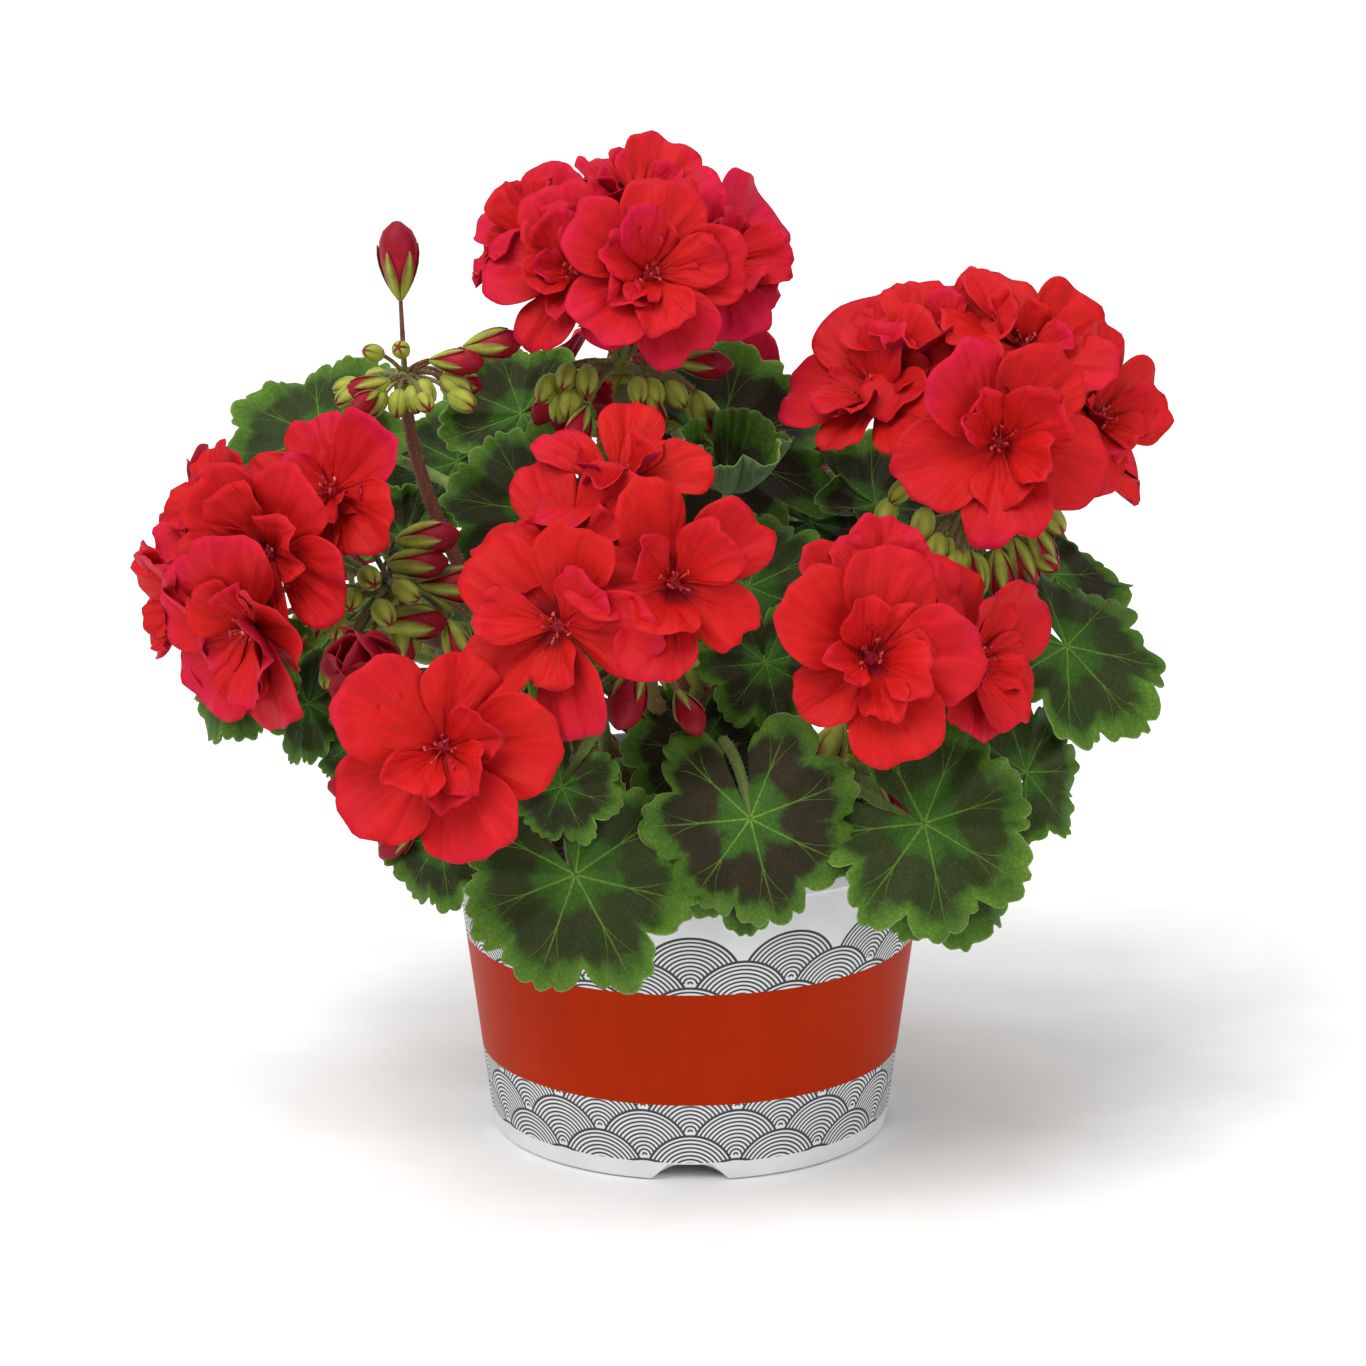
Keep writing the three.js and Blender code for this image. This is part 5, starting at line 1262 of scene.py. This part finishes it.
# White polypropylene with an offset print: a plain rust band between fish-scale line rows
def potMaterial():
    material, tree, shader = newMaterial("printed polypropylene")
    place = add(tree, "ShaderNodeTexCoord").outputs["Object"]
    axis = add(tree, "ShaderNodeSeparateXYZ", {0: place})
    height = add(tree, "ShaderNodeMath", {0: axis.outputs["Z"], 1: 1 / mm}, operation="MULTIPLY")
    around = add(tree, "ShaderNodeMath", {0: axis.outputs["X"], 1: axis.outputs["Y"]}, operation="ARCTAN2")
    around = add(tree, "ShaderNodeMath", {0: around, 1: potPrint["scallops"] / wholeTurn},
                 operation="MULTIPLY")
    pitch = wholeTurn * potPrint["middleRadius"] / potPrint["scallops"]
    row = add(tree, "ShaderNodeMath", {0: height, 1: potPrint["rowStep"]}, operation="DIVIDE")
    row = add(tree, "ShaderNodeMath", {0: row}, operation="FLOOR")
    reach, shown = None, None
    for back in (0.0, -1.0, -2.0):  # the lowest row lies in front, so it is taken last and wins
        this = add(tree, "ShaderNodeMath", {0: row, 1: back}, operation="ADD")
        odd = add(tree, "ShaderNodeMath", {0: this, 1: 2.0}, operation="FLOORED_MODULO")
        shift = add(tree, "ShaderNodeMath", {0: odd, 1: -0.5, 2: around}, operation="MULTIPLY_ADD")
        near = add(tree, "ShaderNodeMath", {0: shift}, operation="ROUND")
        off = add(tree, "ShaderNodeMath", {0: shift, 1: near}, operation="SUBTRACT")
        off = add(tree, "ShaderNodeMath", {0: off, 1: pitch}, operation="MULTIPLY")
        base = add(tree, "ShaderNodeMath", {0: this, 1: potPrint["rowStep"]}, operation="MULTIPLY")
        rise = add(tree, "ShaderNodeMath", {0: height, 1: base}, operation="SUBTRACT")
        arm = add(tree, "ShaderNodeCombineXYZ", {0: off, 1: rise})
        far = add(tree, "ShaderNodeVectorMath", {0: arm}, operation="LENGTH").outputs["Value"]
        within = add(tree, "ShaderNodeMath", {0: far, 1: potPrint["scallop"]}, operation="LESS_THAN")
        low = add(tree, "ShaderNodeMath", {0: base, 1: potPrint["topRow"]}, operation="LESS_THAN")
        within = add(tree, "ShaderNodeMath", {0: within, 1: low}, operation="MULTIPLY")
        if reach is None:
            reach, shown = far, within
        else:
            mixed = add(tree, "ShaderNodeMix", {"Factor": within, "A": reach, "B": far}, data_type="FLOAT")
            reach = mixed.outputs[0]
            shown = add(tree, "ShaderNodeMath", {0: shown, 1: within}, operation="MAXIMUM")
    turns = add(tree, "ShaderNodeMath", {0: reach, 1: potPrint["pitch"]}, operation="DIVIDE")
    turns = add(tree, "ShaderNodeMath", {0: turns}, operation="FRACT")
    turns = add(tree, "ShaderNodeMath", {0: turns, 1: 0.5}, operation="SUBTRACT")
    turns = add(tree, "ShaderNodeMath", {0: turns}, operation="ABSOLUTE")
    half, blur = potPrint["line"] / potPrint["pitch"] / 2, potPrint["blur"]
    ink = add(tree, "ShaderNodeMapRange", {"Value": turns, "From Min": half - blur, "From Max": half + blur,
              "To Min": 1.0, "To Max": 0.0})
    wide, full = potPrint["rim"]  # each scallop has a line along its rim
    edge = add(tree, "ShaderNodeMapRange", {"Value": reach, "From Min": potPrint["scallop"] - wide,
               "From Max": potPrint["scallop"] - full})
    ink = add(tree, "ShaderNodeMath", {0: ink, 1: edge}, operation="MAXIMUM")
    ink = add(tree, "ShaderNodeMath", {0: ink, 1: shown}, operation="MULTIPLY")
    printed = add(tree, "ShaderNodeMath", {0: height, 1: potPrint["footBand"]}, operation="GREATER_THAN")
    ink = add(tree, "ShaderNodeMath", {0: ink, 1: printed}, operation="MULTIPLY")
    cloud = add(tree, "ShaderNodeTexNoise", {"Vector": place, "Scale": 60.0, "Detail": 4.0})
    white = add(tree, "ShaderNodeValToRGB", {"Fac": cloud})
    setRamp(white, [(0.3, "#D9DBDC"), (0.7, "#E4E6E7")])
    lines = add(tree, "ShaderNodeMix", {"Factor": ink, "A": white, "B": linear("#454647")}, data_type="RGBA")
    above = add(tree, "ShaderNodeMath", {0: height, 1: potPrint["redLow"]}, operation="GREATER_THAN")
    below = add(tree, "ShaderNodeMath", {0: height, 1: potPrint["redHigh"]}, operation="LESS_THAN")
    band = add(tree, "ShaderNodeMath", {0: above, 1: below}, operation="MULTIPLY")
    rust = add(tree, "ShaderNodeValToRGB", {"Fac": cloud})
    setRamp(rust, [(0.3, "#A32500"), (0.7, "#AC2A01")])
    color = add(tree, "ShaderNodeMix", {"Factor": band, "A": lines.outputs[2], "B": rust}, data_type="RGBA")
    radial = add(tree, "ShaderNodeVectorMath", {0: place, 1: (1.0, 1.0, 0.0)}, operation="MULTIPLY")
    wide = add(tree, "ShaderNodeVectorMath", {0: radial}, operation="LENGTH").outputs["Value"]
    slope = (pot["wallTop"] - pot["foot"]) / (potTop - pot["collarHeight"])
    skin = add(tree, "ShaderNodeMath", {0: height, 1: slope * mm, 2: (pot["foot"] - 0.6) * mm},
               operation="MULTIPLY_ADD")
    outside = add(tree, "ShaderNodeMath", {0: wide, 1: skin}, operation="GREATER_THAN")
    color = add(tree, "ShaderNodeMix", {"Factor": outside, "A": white, "B": color.outputs[2]},
                data_type="RGBA")
    # the moulding's faint orange peel, about 1.2 mm
    peel = add(tree, "ShaderNodeTexNoise", {"Vector": place, "Scale": 800.0, "Detail": 1.0})
    bump = add(tree, "ShaderNodeBump", {"Height": peel, "Strength": 0.08, "Distance": 0.0002})
    rough = add(tree, "ShaderNodeMapRange", {"Value": cloud, "To Min": 0.38, "To Max": 0.48})
    fill(tree, shader, {"Base Color": color.outputs[2], "Normal": bump, "Roughness": rough,
                        "Specular IOR Level": 0.05})
    return material


# The faces of a finished bmesh point outwards, and it becomes an object
def meshed(name, work):
    bmesh.ops.recalc_face_normals(work, faces=work.faces)
    mesh = bpy.data.meshes.new(name)
    work.to_mesh(mesh)
    work.free()
    return newObject(name, mesh)


# A closed body from the radius and height of each ring
def lathe(name, profile, sides):
    work = bmesh.new()
    rings = []
    for radius, z in profile:
        turns = [wholeTurn * k / sides for k in range(sides if radius > 0 else 1)]
        rings.append([work.verts.new((radius * mm * math.cos(turn), radius * mm * math.sin(turn), z * mm))
                      for turn in turns])
    for one, two in zip(rings, rings[1:]):
        for k in range(sides):
            n = (k + 1) % sides
            corners = [one[k % len(one)], one[n % len(one)], two[n % len(two)], two[k % len(two)]]
            unique = list(dict.fromkeys(corners))
            if len(unique) > 2:
                work.faces.new(unique)
    return meshed(name, work)


# Prisms between two copies of an outline, repeated round the pot
def cutters(name, repeats, outline, low, high):
    work = bmesh.new()
    for k in range(repeats):
        verts = []
        for x, y, z in [low(*p) for p in outline] + [high(*p) for p in outline]:
            x, y = spun(x, y, wholeTurn * k / repeats)
            verts.append(work.verts.new((x * mm, y * mm, z * mm)))
        count = len(outline)
        work.faces.new(verts[:count][::-1])
        work.faces.new(verts[count:])
        for i in range(count):
            j = (i + 1) % count
            work.faces.new((verts[i], verts[j], verts[count + j], verts[count + i]))
    return meshed(name, work)


def placePot():
    shoulder = potTop - pot["collarHeight"]
    lip = pot["collar"] - pot["wallTop"]
    inside = pot["wallTop"] - pot["wall"]
    end = pot["pad"] + pot["channel"]
    rise, foot, top = pot["channelRise"], pot["foot"], pot["collar"]
    profile = [
        (0, 0), (pot["pad"] - 0.4, 0), (pot["pad"] + 0.3, 0.4), (pot["pad"] + 1.3, rise - 0.4),
        (pot["pad"] + 1.8, rise), (end - 1.6, rise), (end - 1.0, rise - 0.5), (end - 0.3, 0.3), (end, 0),
        (foot - 1.0, 0), (foot - 0.3, 0.3), (foot, 1.1), (pot["wallTop"], shoulder - 0.1),
        (top - 0.5, shoulder + 0.25), (top, shoulder + 0.8), (top, potTop - 0.5), (top - 0.2, potTop - 0.1),
        (top - 0.5, potTop), (top - 1.1, potTop), (top - 1.45, potTop - 0.3),
        (inside + 0.2, shoulder - lip + 1), (inside, shoulder - lip),
        (foot - 1.6, rise + pot["floor"] + 0.8), (foot - 2.4, rise + pot["floor"]),
        (pot["pad"] - 0.3, rise + pot["floor"]), (pot["pad"] - 2, pot["floor"]), (0, pot["floor"]),
    ]
    piece = lathe("printed_pot", profile, pot["sides"])
    turns = [wholeTurn * i / potHole["sides"] for i in range(potHole["sides"])]
    circle = [(potHole["radius"] * math.cos(turn), potHole["radius"] * math.sin(turn) - potHole["out"])
              for turn in turns]
    holes = cutters("holes", potHole["count"], circle,
                    lambda x, y: (x, y, potHole["from"]), lambda x, y: (x, y, potHole["to"]))
    notches = cutters("notches", potNotch["count"], potNotch["arch"],
                      lambda x, z: (x, potNotch["from"], z), lambda x, z: (x, potNotch["to"], z))
    for tool in (holes, notches):
        cut = piece.modifiers.new("cut", "BOOLEAN")
        cut.operation, cut.solver, cut.object = "DIFFERENCE", "EXACT", tool
        baked(piece)
        bpy.data.objects.remove(tool)
    piece.data.polygons.foreach_set("use_smooth", [True] * len(piece.data.polygons))
    piece.data.set_sharp_from_angle(angle=pot["sharp"])
    piece.data.materials.clear()
    piece.data.materials.append(potMaterial())
    carry(piece, "plastic", "pot")


placePot()
print("pot ready")


# The compost: dark peat with crumbs and a little perlite
compost = {"top": 71.0, "dome": 3.0, "rings": 14, "sides": 48, "gap": 0.35, "fromWall": (1.6, 1.0),
           "bumps": 0.66, "crumb": 1.1, "crumbDensity": 0.16, "seed": 8}  # millimetres, crumbs on a mm2


def compostMaterial():
    material, tree, shader = newMaterial("damp peat")
    place = add(tree, "ShaderNodeTexCoord").outputs["Object"]
    grain = add(tree, "ShaderNodeTexNoise", {"Vector": place, "Scale": 350.0, "Detail": 5.0,
                "Roughness": 0.7})
    color = add(tree, "ShaderNodeValToRGB", {"Fac": grain})
    setRamp(color, [(0.25, "#17100B"), (0.5, "#33241A"), (0.72, "#4E3A2A"), (0.8, "#6E5A44")])
    bump = add(tree, "ShaderNodeBump", {"Height": grain, "Strength": 0.9, "Distance": 0.0012})
    fill(tree, shader, {"Base Color": color, "Normal": bump, "Roughness": 0.95})
    return material


def crumbTree(finish):
    sizes = {"Crumb density": compost["crumbDensity"] * 1e6, "Crumb radius": compost["crumb"] * mm}
    tree, given = geometryTree("compostCrumbs", sizes, compost["seed"])
    normal = add(tree, "GeometryNodeInputNormal")
    facing = add(tree, "ShaderNodeSeparateXYZ", {0: normal})
    upward = add(tree, "FunctionNodeCompare", {0: facing.outputs["Z"], 1: 0.6}, operation="GREATER_THAN")
    spots = add(tree, "GeometryNodeDistributePointsOnFaces", {"Mesh": given["Geometry"], "Selection": upward,
                "Density": given["Crumb density"], "Seed": given["Seed"]})
    lump = add(tree, "GeometryNodeMeshIcoSphere", {"Radius": given["Crumb radius"], "Subdivisions": 1})
    spin = add(tree, "FunctionNodeRandomValue", {0: (0, 0, 0), 1: (6.28, 6.28, 6.28), "Seed": given["Seed"]},
               data_type="FLOAT_VECTOR")
    grow = add(tree, "FunctionNodeRandomValue", {0: (0.35, 0.35, 0.3), 1: (1.5, 1.1, 0.9),
               "Seed": given["Seed"]}, data_type="FLOAT_VECTOR")
    lumps = add(tree, "GeometryNodeInstanceOnPoints", {"Points": spots.outputs["Points"], "Instance": lump,
                "Rotation": spin, "Scale": grow})
    both = add(tree, "GeometryNodeJoinGeometry", {0: lumps})
    tree.links.new(given["Geometry"], both.inputs[0])
    real = add(tree, "GeometryNodeRealizeInstances", {"Geometry": both})
    done = add(tree, "GeometryNodeSetMaterial", {"Geometry": real, "Material": finish})
    add(tree, "NodeGroupOutput", {0: done})
    return tree


def placeCompost():
    top, rings = compost["top"], compost["rings"]
    rise = pot["channelRise"] + pot["floor"] + compost["gap"]
    slope = (pot["wallTop"] - pot["foot"]) / (potTop - pot["collarHeight"])
    low = pot["foot"] + slope * rise - pot["wall"] - compost["fromWall"][0]
    high = pot["foot"] + slope * top - pot["wall"] - compost["fromWall"][1]
    floorZ = pot["floor"] + compost["gap"]
    profile = [(0, floorZ), (pot["pad"] - 3, floorZ), (pot["pad"] - 1, rise), (low, rise), (high, top)]
    profile += [(high * (1 - k / rings), top + compost["dome"] * math.sin(k / rings * math.pi / 2))
                for k in range(1, rings + 1)]
    piece = lathe("peat", profile, compost["sides"])
    for vertex in piece.data.vertices:
        if vertex.co.z > (top - 0.5) * mm:
            x, y = vertex.co.x / mm, vertex.co.y / mm  # low bumps, 5 to 11 mm apart
            wave = math.sin(x * 0.55 + 2) * math.cos(y * 0.6) + 0.5 * math.sin(x * 1.3 - y * 0.9)
            vertex.co.z += compost["bumps"] * wave * mm
    piece = grown(piece, crumbTree(compostMaterial()), {
        "Crumb density": compost["crumbDensity"] * 1e6, "Crumb radius": compost["crumb"] * mm,
        "Seed": compost["seed"]})
    carry(piece, "compost", "compost")


placeCompost()
print("compost ready")
